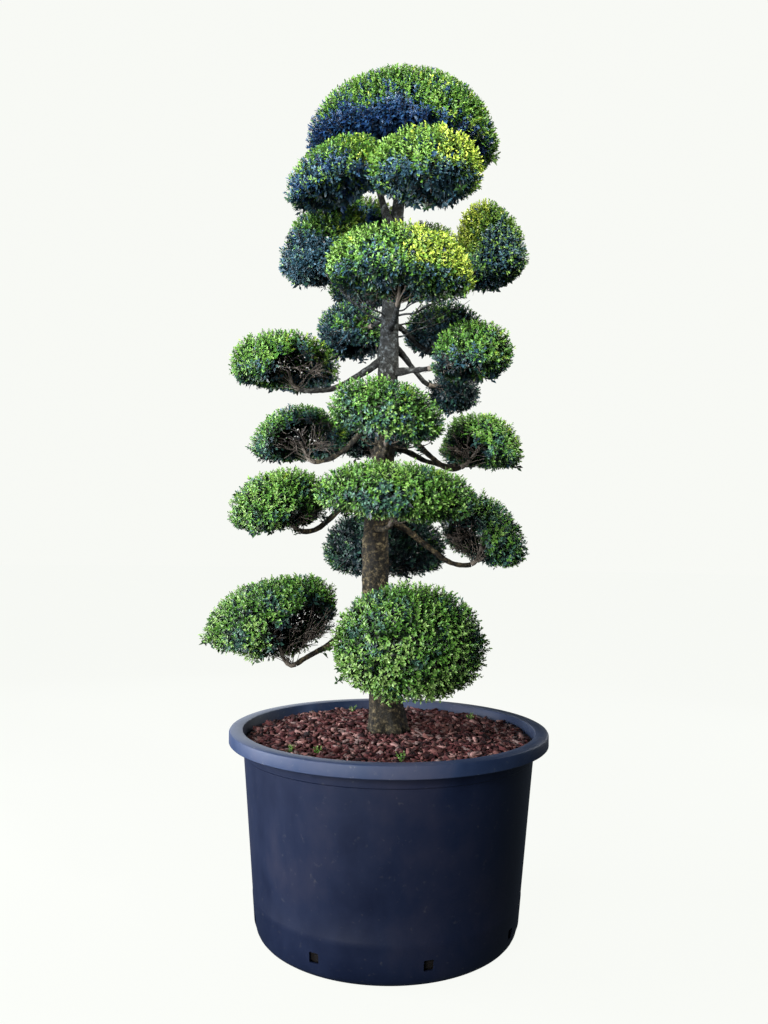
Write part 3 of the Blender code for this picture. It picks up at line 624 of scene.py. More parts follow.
growth = {
    "clearance": 0.0003, "footDrop": 0.006, "stemRadius": 0.008, "capStemRadius": 0.013, "stemReach": 0.8,
    "stemKnee": 0.35, "stemTaper": 0.5, "lumpSize": 0.045, "lumpPitches": (2.6, 3.8, 5.2), "heartRise": 0.25,
    "leastHeight": 0.3, "openInward": 0.5, "openDown": 0.85, "bareFrom": 0.9, "boughLeaving": 0.40,
    "boughEnding": 0.35, "boughTaper": 0.8, "boughSteps": 24,
}


def trunkStation(height):
    heights = [station[0] for station in trunkPlan]
    height = min(max(height, heights[0]), heights[-1])
    above = next(index for index in range(1, len(heights)) if heights[index] >= height)
    low, high = trunkPlan[above - 1], trunkPlan[above]
    share = (height - low[0]) / (high[0] - low[0])
    return low[1] + (high[1] - low[1]) * share, low[2] + (high[2] - low[2]) * share


def trunkPoint(height):
    return Vector((trunkStation(height)[0], 0, height))


def bezier(handles, share):
    rest = 1 - share
    weights = (rest ** 3, 3 * rest ** 2 * share, 3 * rest * share ** 2, share ** 3)
    return sum((handle * weight for handle, weight in zip(handles, weights)), Vector())


def randomDirection(draw):
    height = draw.uniform(-1.0, 1.0)
    angle = draw.uniform(0.0, math.tau)
    across = math.sqrt(1.0 - height * height)
    return Vector((across * math.cos(angle), across * math.sin(angle), height))


def readyPad(name, plan):
    # The plan with its defaults, its lumps and the places of its foot and heart, by the source's rule
    pad = {**padDefaults, **plan, "name": name}
    pad["middle"] = Vector(pad["middle"])
    pad["tilt"] = math.tan(math.radians(pad["slope"]))
    draw = random.Random(name)
    pad["lumps"] = [(randomDirection(draw) * pitch, draw.uniform(0.0, math.tau))
                    for pitch in growth["lumpPitches"]]
    pad["draw"] = draw
    if pad["drop"] is None:
        pad["drop"] = pad["down"] + growth["footDrop"]
    inward = trunkPoint(pad["middle"].z) - pad["middle"]
    inward.z = 0
    pad["inward"] = inward = inward.normalized()
    climb = math.radians(pad["climb"])
    pad["rising"] = Vector((0, 0, math.sin(climb))) - inward * math.cos(climb)
    radius = math.hypot(pad["half"][0] * inward.x, pad["half"][1] * inward.y)
    foot = pad["middle"] + inward * radius * pad["share"]
    foot.z += (foot.x - pad["middle"].x) * pad["tilt"] - pad["drop"]
    pad["foot"] = foot
    if name == "7_cap":
        pad["foot"] = Vector((trunkPlan[-1][1], 0, trunkPlan[-1][0] + growth["clearance"]))
        pad["rising"] = Vector((0, 0, 1))
    pad["heart"] = pad["middle"] + Vector((0, 0, growth["heartRise"] * pad["up"]))
    if pad["open"] is None:
        pad["open"] = inward * growth["openInward"] - Vector((0, 0, growth["openDown"]))
    pad["open"] = Vector(pad["open"]).normalized()
    pad["area"] = math.pi * (pad["half"][0] * pad["half"][1] * 2
                             + (pad["half"][0] + pad["half"][1]) * (pad["up"] + pad["down"]) / 2)
    return pad


def padSkin(pad, directions, inset=0.0):
    # Points of the pad's outside that lie in directions from its middle, or a skin depth below it
    x, y, z = directions[:, 0], directions[:, 1], directions[:, 2]
    across = np.hypot(x, y)
    power = np.where(z > 0, 2.0 / pad["square"], 2.0 / pad["under"])
    level = np.sign(z) * np.abs(z) ** power
    reach = across ** power / np.maximum(across, 1e-6)
    height = np.where(z > 0, pad["up"], pad["down"])
    inset = np.asarray(inset)
    placeX = (pad["half"][0] - inset) * reach * x + pad["lean"] * pad["half"][0] * np.abs(level)
    placeY = (pad["half"][1] - inset) * reach * y
    placeZ = np.maximum(height - inset, growth["leastHeight"] * height) * level
    swell = 1 + growth["lumpSize"] / 3 * sum(np.sin(directions @ np.array(axis) + phase)
                                             for axis, phase in pad["lumps"])
    offset = np.stack([placeX * swell, placeY * swell, placeZ * swell + placeX * swell * pad["tilt"]], axis=1)
    return np.array(pad["middle"]) + offset


def fullness(pad, points):
    # Below 1 inside the pad, above 1 outside it
    offset = points - np.array(pad["middle"])
    rise = offset[:, 2] - offset[:, 0] * pad["tilt"]
    square = np.where(rise > 0, pad["square"], pad["under"])
    level = np.abs(rise) / np.where(rise > 0, pad["up"], pad["down"])
    across = np.hypot((offset[:, 0] - pad["lean"] * pad["half"][0] * np.minimum(level, 1)) / pad["half"][0],
                      offset[:, 1] / pad["half"][1])
    return (across ** square + level ** square) ** (1 / square)


def boughHandles(pad):
    start = trunkPoint(pad["leaves"])
    end = pad["foot"] - pad["rising"] * growth["clearance"]
    level = Vector((end.x - start.x, end.y - start.y, 0))
    parting = level + Vector((0, 0, level.length * math.tan(math.radians(pad["parting"]))))
    return (start, start + parting * growth["boughLeaving"],
            end - pad["rising"] * level.length * growth["boughEnding"], end)


pads = {name: readyPad(name, plan) for name, plan in padPlan.items()}
boughLines = {name: [bezier(boughHandles(pad), step / growth["boughSteps"])
                     for step in range(growth["boughSteps"] + 1)]
              for name, pad in pads.items() if name != "7_cap"}


# Trunk and boughs with the bark's relief

barkLook = {"trunkSides": 56, "trunkStep": 0.006, "boughSides": 12, "boughStep": 0.009, "easing": 0.03,
            "relief": 0.0035, "reliefAround": 55, "reliefAlong": 22, "fullRelief": 0.03, "boughRelief": 0.45,
            "knots": 0.007, "knotReach": 0.06, "knotHeight": 0.022, "knotFacing": 0.2, "knotBough": 0.013,
            "flareLobes": 5, "flareDepth": 0.16, "flareHeight": 0.035, "flareTurn": 0.7, "swell": 0.05,
            "swellAround": 1.3, "swellAlong": 7, "cutHeight": 0.001, "wander": 0.005, "wanderScale": 14,
            "collar": 0.75, "collarShare": 0.5, "collarStart": 0.02, "collarLength": 0.045, "thickness": 0.86,
            "ripple": 0.14, "rippleScale": 30, "seed": 1796067609}
spurLook = {"steps": 16, "sides": 8, "sag": 0.10, "leaving": 0.35, "arriving": 0.7, "wander": 0.016,
            "wanderScale": 18, "thickness": 0.85, "taper": 0.6, "twigSteps": (6, 8, 11, 13), "twigSides": 6,
            "twigAside": 0.35, "twigRise": 0.7, "twigFall": 0.5, "twigReach": 0.30,
            "twigRadii": (0.40, 0.30, 0.15)}


# Short limbs that the photo shows between the boughs: height on the trunk, end and radius
spurs = ((1.372, (-0.106, -0.050, 1.385), 0.0045),
         (1.372, (0.088, -0.055, 1.362), 0.0050), (1.722, (-0.165, -0.080, 1.806), 0.0045),
         (1.742, (0.160, -0.085, 1.786), 0.0045), (1.700, (-0.110, -0.050, 1.726), 0.0035),
         (1.686, (0.140, -0.060, 1.716), 0.0040), (1.748, (-0.190, -0.020, 1.835), 0.0035),
         (1.735, (-0.100, -0.120, 1.800), 0.0035), (1.752, (0.110, -0.120, 1.800), 0.0035),
         (1.718, (0.195, -0.020, 1.775), 0.0035), (2.135, (-0.060, -0.080, 2.150), 0.0045))


def growLimb(builder, points, radii, sides):
    # A circle carried along the path by extrusion, closed at both ends
    side = (points[1] - points[0]).orthogonal().normalized()
    made = bmesh.ops.create_circle(builder, cap_ends=True, segments=sides, radius=1.0)
    face = foot = made["verts"][0].link_faces[0]
    for index, point in enumerate(points):
        ahead = (points[min(index + 1, len(points) - 1)] - points[max(index - 1, 0)]).normalized()
        side = (side - ahead * side.dot(ahead)).normalized()
        upward = ahead.cross(side)
        if index:
            grown = bmesh.ops.extrude_face_region(builder, geom=[face])["geom"]
            if face is not foot:
                builder.faces.remove(face)
            face = next(item for item in grown if isinstance(item, bmesh.types.BMFace))
        for corner, vertex in enumerate(face.verts):
            angle = math.tau * corner / sides
            vertex.co = point + (side * math.cos(angle) + upward * math.sin(angle)) * radii[index]


def smoothTrunk(height):
    # Sideways place and radius, eased between the stations
    near = [trunkStation(height + offset) for offset in (-barkLook["easing"], 0, barkLook["easing"])]
    return sum(item[0] for item in near) / 3, sum(item[1] for item in near) / 3


def barkRelief(point, strength):
    around, along = barkLook["reliefAround"], barkLook["reliefAlong"]
    place = Vector((point.x * around, point.y * around, point.z * along))
    return strength * noise.fractal(place, 0.8, 2.1, 4)


def makeTrunk(bark):
    look = barkLook
    low, high = trunkPlan[0][0], trunkPlan[-1][0]
    count = int((high - low) / look["trunkStep"])
    heights = [low + (high - low) * step / count for step in range(count + 1)]
    eased = [smoothTrunk(height) for height in heights]
    builder = bmesh.new()
    points = [Vector((x, 0, height)) for height, (x, _) in zip(heights, eased)]
    growLimb(builder, points, [radius for _, radius in eased], look["trunkSides"])
    leaving = [(trunkPoint(pad["leaves"]), pad["foot"] - trunkPoint(pad["leaves"]), pad["bough"])
               for name, pad in pads.items() if name != "7_cap"]
    for vertex in builder.verts:
        height = vertex.co.z
        x, radius = smoothTrunk(height)
        outward = vertex.co - Vector((x, 0, height))
        outward.z = 0
        if outward.length < 1e-6:
            continue
        outward.normalize()
        angle = math.atan2(outward.y, outward.x)
        flare = math.exp(-(height - low) / look["flareHeight"])
        grow = radius * look["flareDepth"] * flare * math.sin(angle * look["flareLobes"] + look["flareTurn"])
        grow += barkRelief(vertex.co, look["relief"] * min(1.0, radius / look["fullRelief"]))
        around = look["swellAround"]
        swell = noise.noise(Vector((outward.x * around, outward.y * around, height * look["swellAlong"])))
        grow += look["swell"] * radius * swell
        # Knots where boughs leave
        for place, heading, size in leaving:
            rise = height - place.z
            if abs(rise) < look["knotReach"]:
                facing = Vector((heading.x, heading.y, 0)).normalized().dot(outward)
                if facing > look["knotFacing"]:
                    knot = math.exp(-(rise / look["knotHeight"]) ** 2)
                    grow += look["knots"] * (size / look["knotBough"]) * knot * (facing - look["knotFacing"])
        if height < low + look["cutHeight"]:
            grow = max(grow, 0)
        vertex.co += outward * grow
    bmesh.ops.recalc_face_normals(builder, faces=builder.faces)
    finishPiece(pieceFromBmesh("trunk", builder, [bark]), "bark", "trunk")


def addSpurs(builder):
    # Each spur has side twigs that leave it to either side and rise
    look = spurLook
    steps = look["steps"]
    for height, end, radius in spurs:
        start, end = trunkPoint(height), Vector(end)
        along = end - start
        lift = Vector((0, 0, look["sag"] * along.length))
        handles = (start, start.lerp(end, look["leaving"]) - lift,
                   start.lerp(end, look["arriving"]) - lift, end)
        points = []
        for step in range(steps + 1):
            point = bezier(handles, step / steps)
            calm = math.sin(math.pi * step / steps)
            points.append(point + noise.noise_vector(point * look["wanderScale"]) * look["wander"] * calm)
        radii = [radius * (look["thickness"] - look["taper"] * step / steps) for step in range(steps + 1)]
        growLimb(builder, points, radii, look["sides"])
        for number, step in enumerate(look["twigSteps"]):
            place, odd = points[step], number % 2
            reachAside = look["twigAside"] if odd else -look["twigAside"]
            aside = Vector((0, 0, 1)).cross(along).normalized() * reachAside
            rise = Vector((0, 0, look["twigRise"] - look["twigFall"] * odd))
            heading = (along.normalized() + aside + rise).normalized()
            reach = look["twigReach"] * along.length
            twig = [place, place + heading * reach * 0.5, place + heading * reach + lift * 0.5]
            growLimb(builder, twig, [radius * share for share in look["twigRadii"]], look["twigSides"])


def addBough(builder, pad):
    look = barkLook
    handles = boughHandles(pad)
    length = (handles[-1] - handles[0]).length
    count = max(12, int(length / look["boughStep"]))
    shift = Vector([pad["draw"].uniform(0, 50) for _ in range(3)])
    points, radii = [], []
    for step in range(count + 1):
        share = step / count
        calm = math.sin(math.pi * share)
        point = bezier(handles, share)
        point += noise.noise_vector(shift + point * look["wanderScale"]) * look["wander"] * calm
        past = max(0, share * length - look["collarStart"])
        collar = look["collar"] * math.exp(-past / look["collarLength"])
        radius = pad["bough"] + (growth["stemRadius"] - pad["bough"]) * share ** growth["boughTaper"]
        ripple = look["ripple"] * noise.noise(shift + Vector((share * length * look["rippleScale"], 0, 0)))
        points.append(point)
        radii.append(radius * (look["thickness"] + collar * look["collarShare"] + ripple))
    limb = bmesh.new()
    growLimb(limb, points, radii, look["boughSides"])
    for vertex in limb.verts:
        nearest = min(range(len(points)), key=lambda index: (points[index] - vertex.co).length_squared)
        outward = vertex.co - points[nearest]
        if outward.length > 1e-6:
            vertex.co += outward.normalized() * barkRelief(vertex.co, look["relief"] * look["boughRelief"])
    bmesh.ops.recalc_face_normals(limb, faces=limb.faces)
    mesh = bpy.data.meshes.new("limb")
    limb.to_mesh(mesh)
    limb.free()
    builder.from_mesh(mesh)
    bpy.data.meshes.remove(mesh)


def makeBoughs(bark):
    noise.seed_set(barkLook["seed"])  # noise_vector follows the clock where it isn't seeded
    builder = bmesh.new()
    addSpurs(builder)
    for name in boughLines:
        addBough(builder, pads[name])
    finishPiece(pieceFromBmesh("boughs", builder, [bark]), "bark", *("bough_" + name for name in boughLines))


# Above 1.3 m the bark is tinted blue-grey: partly greyer bark, partly painted cool shade under the crown
bark = patternedMaterial(
    "bark", (0.72, 0.92), 0.25,
    ((0.41, (0.0013, 0.0009, 0.0004)), (0.48, (0.008, 0.0062, 0.0030)), (0.55, (0.036, 0.0275, 0.0145)),
     (0.64, (0.136, 0.110, 0.062))),
    scale=70.0, stretch=(1, 1, 1.2), bump=1.0, bumpScale=150.0, bumpDepth=0.007, grain=0.72,
    spots={"scale": 9.0, "from": 0.50, "to": 0.72, "strength": 0.80, "color": (0.010, 0.009, 0.006)},
    above={"from": 1.30, "to": 1.65, "color": (0.64, 0.94, 1.85)})
makeTrunk(bark)
makeBoughs(bark)
print("trunk and", len(boughLines), "boughs made")


# Foliage: each pad's stem forks into limbs, branchlets and shoots, and sprays of leaves close its outside

class Lines:
    # Many twigs, gathered as arrays of points and radii
    def __init__(self):
        self.members = []

    def add(self, points, radii):
        self.members.append((points, np.broadcast_to(radii, points.shape[:2])))

    def tubes(self, sides, shade):
        # Corners and face groups of tubes round the lines, their ends closed
        groups = {}
        for points, radii in self.members:
            groups.setdefault(points.shape[1], []).append((points, radii))
        allCorners, quads, ends, base = [], [], [], 0
        for length, members in sorted(groups.items()):
            points = np.concatenate([member[0] for member in members])
            radii = np.concatenate([member[1] for member in members])
            side, other = crossFrame(unit(np.gradient(points, axis=1)))
            angles = np.arange(sides) * math.tau / sides
            ring = (side[:, :, None] * np.cos(angles)[None, None, :, None]
                    + other[:, :, None] * np.sin(angles)[None, None, :, None])
            corners = points[:, :, None] + ring * radii[:, :, None, None]
            count = len(points)
            allCorners.append(corners.reshape(-1, 3))
            rings = np.arange(count)[:, None, None] * length + np.arange(length - 1)[None, :, None]
            start = base + rings * sides
            corner = np.arange(sides)[None, None]
            following = (corner + 1) % sides
            quads.append(np.stack([start + corner, start + following, start + sides + following,
                                   start + sides + corner], axis=-1).reshape(-1, 4))
            first = base + np.arange(count)[:, None] * length * sides
            ends.append(first + np.arange(sides)[::-1][None])
            ends.append(first + (length - 1) * sides + np.arange(sides)[None])
            base += count * length * sides
        faceGroups = [(faces, np.full(len(faces), shade)) for faces in map(np.concatenate, (quads, ends))]
        return np.concatenate(allCorners), faceGroups


def curved(start, handle, end, steps):
    # Points of quadratic curves from many starts to many ends
    share = np.linspace(0, 1, steps + 1)[None, :, None]
    return (start[:, None] * (1 - share) ** 2 + handle[:, None] * 2 * share * (1 - share)
            + end[:, None] * share ** 2)


def wander(lines, amount, rng):
    lines[:, 1:-1] += rng.normal(0, amount, lines[:, 1:-1].shape)


def spreadOver(pad, spacing, lowest, rng, inset=0.0):
    # Directions whose points on the pad's outside lie at least a spacing apart
    triesPerPlace = 9
    tries = int(pad["area"] / spacing ** 2 * triesPerPlace)
    directions = unit(rng.normal(size=(tries, 3)))
    directions = directions[directions[:, 2] > lowest]
    points = padSkin(pad, directions, inset)
    around = [(x, y, z) for x in (-1, 0, 1) for y in (-1, 0, 1) for z in (-1, 0, 1)]
    taken, chosen = {}, []
    for index, cell in enumerate(map(tuple, np.floor(points / spacing).astype(int))):
        point = points[index]
        near = (taken.get((cell[0] + x, cell[1] + y, cell[2] + z)) for x, y, z in around)
        if all(other is None or ((points[other] - point) ** 2).sum() > spacing ** 2 for other in near):
            if cell not in taken:
                taken[cell] = index
                chosen.append(index)
    return directions[chosen]


def nearestPlaces(lines, targets, straight=0.35, first=1, last=None):
    # For each target, the place on the lines that lies near and behind it, and the way its line runs there
    picked = slice(first, last)
    places = lines[:, picked].reshape(-1, 3)
    ways = unit(np.gradient(lines, axis=1)[:, picked].reshape(-1, 3))
    best = np.empty(len(targets), dtype=int)
    batch = 400
    for start in range(0, len(targets), batch):
        offset = targets[start:start + batch, None] - places[None]
        distance = np.linalg.norm(offset, axis=2)
        facing = (offset * ways[None]).sum(axis=2) / np.maximum(distance, 1e-6)
        best[start:start + batch] = np.argmin(distance * (1 + straight * (1 - facing)), axis=1)
    return places[best], ways[best]


clearLook = {"boughNear": 0.45, "boughRadius": 0.010, "margin": 0.010, "ownBough": 0.5, "trunkFrom": 0.56,
             "trunkTo": 2.19, "trunkStep": 0.03, "padNear": 0.75}


def limbClear(points, pad, margin=clearLook["margin"]):
    # True where a point keeps off the trunk and the boughs, and out of the other pads
    look = clearLook
    clear = np.ones(len(points), dtype=bool)
    for name, line in boughLines.items():
        line = np.array(line[::2])
        if np.linalg.norm(line - np.array(pad["middle"]), axis=1).min() > look["boughNear"]:
            continue
        spare = look["boughRadius"] + margin if name != pad["name"] else margin * look["ownBough"]
        clear &= np.linalg.norm(points[:, None] - line[None], axis=2).min(axis=1) > spare
    if pad["name"] != "7_cap":
        trunk = np.array([(smoothTrunk(height)[0], 0, height, smoothTrunk(height)[1])
                          for height in np.arange(look["trunkFrom"], look["trunkTo"], look["trunkStep"])])
        away = np.linalg.norm(points[:, None] - trunk[None, :, :3], axis=2) - trunk[None, :, 3]
        clear &= away.min(axis=1) > margin
    for other in pads.values():
        if other is not pad and (other["middle"] - pad["middle"]).length < look["padNear"]:
            clear &= fullness(other, points) > 1.0
    return clear


def padNoise(points, size, shift):
    return np.array([noise.noise(Vector(point) / size + shift) for point in points])


def openFacing(pad, points):
    # Cosine between a point's direction from the pad's middle and the pad's open side
    return unit(points - np.array(pad["middle"])) @ np.array(pad["open"])


limbLook = {"least": 8, "perArea": 26, "lowest": -0.25, "span": 1.05, "turnScatter": 0.4,
            "reach": (0.62, 0.78), "start": 0.03, "startSpan": 0.45, "startScatter": 0.05, "sag": 0.05,
            "wander": 0.0035, "radius": (0.11, 0.19), "taper": 0.5, "stemSteps": 6, "steps": 5}


def growLimbs(pad, twigs, rng):
    # The stem, and limbs that fan out of it, the lowest first
    look = limbLook
    stemRadius = growth["capStemRadius"] if pad["name"] == "7_cap" else growth["stemRadius"]
    foot = pad["foot"]
    top = foot.lerp(pad["heart"], growth["stemReach"])
    knee = foot + pad["rising"] * growth["stemKnee"] * (top - foot).length
    steps = look["stemSteps"]
    stem = curved(np.array([foot]), np.array([knee]), np.array([top]), steps)
    twigs["thick"].add(stem, np.linspace(stemRadius, stemRadius * growth["stemTaper"], steps + 1))
    heart = np.array(pad["heart"])
    count = look["least"] + round(pad["area"] * look["perArea"])
    order = np.arange(count)
    height = look["lowest"] + look["span"] * (order + 0.5) / count
    angle = order * goldenAngle + rng.uniform(-look["turnScatter"], look["turnScatter"], count)
    across = np.sqrt(1 - height ** 2)
    headings = np.stack([across * np.cos(angle), across * np.sin(angle), height], axis=1)
    ends = heart + (padSkin(pad, headings) - heart) * rng.uniform(*look["reach"], count)[:, None]
    share = np.clip(look["start"] + look["startSpan"] * order / count
                    + rng.uniform(-look["startScatter"], look["startScatter"], count), 0.02, 0.98)
    starts = np.stack([np.interp(share * steps, np.arange(steps + 1), stem[0][:, axis])
                       for axis in range(3)], axis=1)
    span = ends - starts
    handles = starts + span * 0.5
    handles[:, 2] -= look["sag"] * np.linalg.norm(span[:, :2], axis=1)
    limbs = curved(starts, handles, ends, look["steps"])
    wander(limbs, look["wander"], rng)
    radii = rng.uniform(*look["radius"], count)[:, None] * stemRadius
    twigs["thick"].add(limbs, radii * np.linspace(1, look["taper"], look["steps"] + 1))
    return limbs


branchletLook = {"spacing": 0.046, "lowest": -0.85, "inset": 0.048, "insetShare": (0.55, 1.0), "follow": 0.45,
                 "bend": 0.7, "wander": 0.0035, "steps": 3, "radii": (0.0015, 0.0009)}


def growBranchlets(pad, limbs, twigs, rng):
    look = branchletLook
    directions = spreadOver(pad, look["spacing"], look["lowest"], rng)
    ends = padSkin(pad, directions, look["inset"] * rng.uniform(*look["insetShare"], len(directions)))
    starts, ways = nearestPlaces(limbs, ends)
    span = ends - starts
    length = np.linalg.norm(span, axis=1, keepdims=True)
    handles = starts + (ways * look["follow"] * length + span * 0.5) * look["bend"]
    branchlets = curved(starts, handles, ends, look["steps"])
    wander(branchlets, look["wander"], rng)
    twigs["shoot"].add(branchlets, np.linspace(*look["radii"], look["steps"] + 1))
    return branchlets


# "low" and "high" are the heights between which the foliage turns from its look low down to the one at the
# top
shootLook = {"spacing": 0.0138, "lowest": -0.97, "skinProbe": 0.03, "inset": 0.009, "insetScatter": 0.0035,
             "clumpDepth": 0.010, "clumpSize": 0.045, "tuftDepth": 0.008, "tuftSize": 0.018,
             "tuftShift": (3, 7, 1), "low": 0.90, "high": 2.15, "evenAbove": 0.5, "openScatter": 0.20,
             "openSize": 0.06, "openEdge": 0.14, "rise": 0.20, "riseAbove": 0.35, "tilt": 0.30,
             "length": 0.038, "clearAhead": 0.008, "straight": 0.2, "radii": (0.0011, 0.0009, 0.0004),
             "sizes": (0.85, 1.12)}


def growShoots(pad, branchlets, twigs, sprays, shift, rng):
    # Shoots end in sprays of leaves
    look = shootLook
    directions = spreadOver(pad, look["spacing"], look["lowest"], rng)
    skin = padSkin(pad, directions)
    normals = unit(skin - padSkin(pad, directions, look["skinProbe"]))
    lump = padNoise(skin, look["clumpSize"], shift)
    tuft = padNoise(skin, look["tuftSize"], shift + Vector(look["tuftShift"]))
    tall = np.clip((skin[:, 2] - look["low"]) / (look["high"] - look["low"]), 0, 1)
    even = 1 - look["evenAbove"] * tall
    depth = (look["inset"] - even * (look["clumpDepth"] * lump + look["tuftDepth"] * tuft)
             + even * rng.normal(0, look["insetScatter"], len(skin)))
    ragged = padNoise(skin, look["openSize"], shift) * look["openScatter"]
    openness = np.clip((openFacing(pad, skin) + ragged - pad["openFrom"]) / look["openEdge"], 0, 1)
    kept = rng.uniform(0, 1, len(skin)) < 1 - pad["bare"] * openness
    kept &= (openness < 1) | (pad["bare"] < growth["bareFrom"])
    rise = look["rise"] + look["riseAbove"] * tall
    axes = unit(normals + np.array([0, 0, 1.0]) * rise[:, None] + rng.normal(0, look["tilt"], normals.shape))
    tips = skin - normals * depth[:, None]
    kept &= limbClear(tips + axes * look["clearAhead"], pad)
    tips, axes, normals, lump, tuft, tall, even, openness = (
        item[kept] for item in (tips, axes, normals, lump, tuft, tall, even, openness))
    starts, _ = nearestPlaces(branchlets, tips, look["straight"])
    shoots = np.stack([starts, tips - axes * look["length"], tips], axis=1)
    twigs["shoot"].add(shoots, np.array(look["radii"]))
    ramps, levels = sprayColors(pad, tips, normals, lump, tuft, tall, even, openness, shift, rng)
    sizes = rng.uniform(*look["sizes"], len(tips))
    sprays.extend(leafArrays(tips, axes, ramps, levels, sizes, rng))


# "lump" and "tuft" darken sprays in hollows, "openShade" those by the bare side, and "lowFill" paints
# The spray colours paint light and shade: sprays that face the light are lighter, and yellower high up.
# light under the low pads; the cool ramps paint the crown's blue shade.
colorRule = {"level": 3.5, "levelAbove": 0.15, "sunLevel": 0.1, "sunLevelAbove": 1.5, "lump": 2.4,
             "tuft": 2.2, "patchLevel": 0.7, "patchLevelBelow": 1.3, "openShade": 2.0, "lowFill": 1.5,
             "fillBelow": 0.3, "shadeBelow": 0.2, "mostShade": 0.8, "scatter": 0.30, "patchSize": 0.10,
             "patchShift": (9, 3, 5), "sunUp": 0.95, "sunSide": 0.35, "sunEdge": 22.0, "sunPatches": 0.10,
             "sunDim": 0.6, "goldFrom": (0.90, -0.20, 0.38), "goldStart": 0.52, "goldEdge": 8,
             "goldPatches": 0.3, "goldShare": 0.70, "goldAbove": 0.25, "coolDim": 0.35, "coolPatches": 1.1,
             "coolBelow": 0.95, "slateFrom": 1.38, "slateTo": 1.95, "navyFrom": 1.97, "navyTo": 2.20}


def sprayColors(pad, tips, normals, lump, tuft, tall, even, openness, shift, rng):
    # Ramp and level of each spray, painted light and shade from how it faces the light, its height, and
    # patches
    rule = colorRule
    light = rule["sunUp"] * normals[:, 2] + rule["sunSide"] * np.maximum(pad["side"] * normals[:, 0], 0)
    patches = padNoise(tips, rule["patchSize"], shift + Vector(rule["patchShift"]))
    sunlit = 1 / (1 + np.exp(-rule["sunEdge"] * (light - pad["shade"] + rule["sunPatches"] * patches)))
    facing = (normals * (pad["side"], 1, 1)) @ unit(np.array(rule["goldFrom"]))
    golden = facing - rule["goldStart"] + rule["goldPatches"] * patches
    golden = 1 / (1 + np.exp(-rule["goldEdge"] * golden))
    levels = (rule["level"] + rule["levelAbove"] * tall
              + (rule["sunLevel"] + rule["sunLevelAbove"] * tall) * (sunlit - 0.5)
              + tall * np.clip(light - rule["shadeBelow"], -rule["mostShade"], 0)
              + even * (rule["lump"] * lump + rule["tuft"] * tuft)
              + (rule["patchLevel"] + rule["patchLevelBelow"] * (1 - tall)) * patches
              - pad["dim"] - rule["openShade"] * openness
              + rule["lowFill"] * (1 - tall) ** 3 * np.clip(rule["fillBelow"] - light, 0, 1)
              - pad["tone"] * sunlit + rng.normal(0, rule["scatter"], len(tips)))
    draws = rng.uniform(0, 1, len(tips))
    among = rng.uniform(0, 1, len(tips))
    cool = np.full(len(tips), rampNumber["teal"])
    for name in ("slate", "navy"):
        start, end = rule[name + "From"], rule[name + "To"]
        cool = np.where(tips[:, 2] > start + among * (end - start), rampNumber[name], cool)
    coolShare = ((1 - sunlit) * tall + rule["coolDim"] * max(pad["dim"], 0) + openness
                 + rule["coolPatches"] * (1 - rule["coolBelow"] * tall) * np.clip(-patches, 0, 1))
    sunny = sunlit * min(max(1 - rule["sunDim"] * pad["dim"], 0), 1)
    gold = rule["goldShare"] * np.clip((tall - rule["goldAbove"]) / (1 - rule["goldAbove"]), 0, 1)
    ramps = np.where(draws < sunny * tall, rampNumber["sunny"], rampNumber["plain"])
    ramps = np.where(draws < sunny * golden * (gold + pad["sun"]), rampNumber["gold"], ramps)
    return np.where(draws > 1 - coolShare, cool, ramps), levels


innerLook = {"spacing": 0.022, "bareSpacing": 0.8, "lowest": -0.9, "inset": 0.032, "openMargin": 0.1,
             "tilt": 0.4, "size": 1.20, "leaves": 7, "slateFrom": 1.5, "navyFrom": 1.98}


def growInnerLeaves(pad, sprays, rng):
    # Older leaves sit further in, away from the open side, dark with painted shade, bluer the higher the pad
    # stands
    look = innerLook
    spacing = look["spacing"] * (look["bareSpacing"] if pad["bare"] > growth["bareFrom"] else 1.0)
    directions = spreadOver(pad, spacing, look["lowest"], rng, look["inset"])
    inner = padSkin(pad, directions, look["inset"])
    closed = openFacing(pad, inner) < pad["openFrom"] - look["openMargin"]
    inner, directions = inner[closed], directions[closed]
    outward = unit(directions + rng.normal(0, look["tilt"], directions.shape))
    ramp, level = "teal" if max(pad["dim"], pad["bare"]) > growth["bareFrom"] else "plain", 0.0
    if pad["middle"][2] > look["slateFrom"]:
        ramp, level = "slate", 0.0 if pad["dim"] > 1 else 1.0
    if pad["middle"][2] > look["navyFrom"]:
        ramp, level = "navy", 0.0
    count = len(inner)
    sprays.extend(leafArrays(inner, outward, np.full(count, rampNumber[ramp]), np.full(count, level),
                             np.full(count, look["size"]), rng, each=look["leaves"], outer=0))


bareLook = {"count": 44, "area": 0.2, "fan": 0.5, "inset": (0.004, 0.035), "straight": 1.5, "follow": 0.10,
            "wander": 0.0015, "margin": 0.004, "steps": 3, "radii": (0.0011, 0.0005), "forkFan": 0.35,
            "forkLength": 0.034, "forkRadii": (0.0009, 0.0004)}


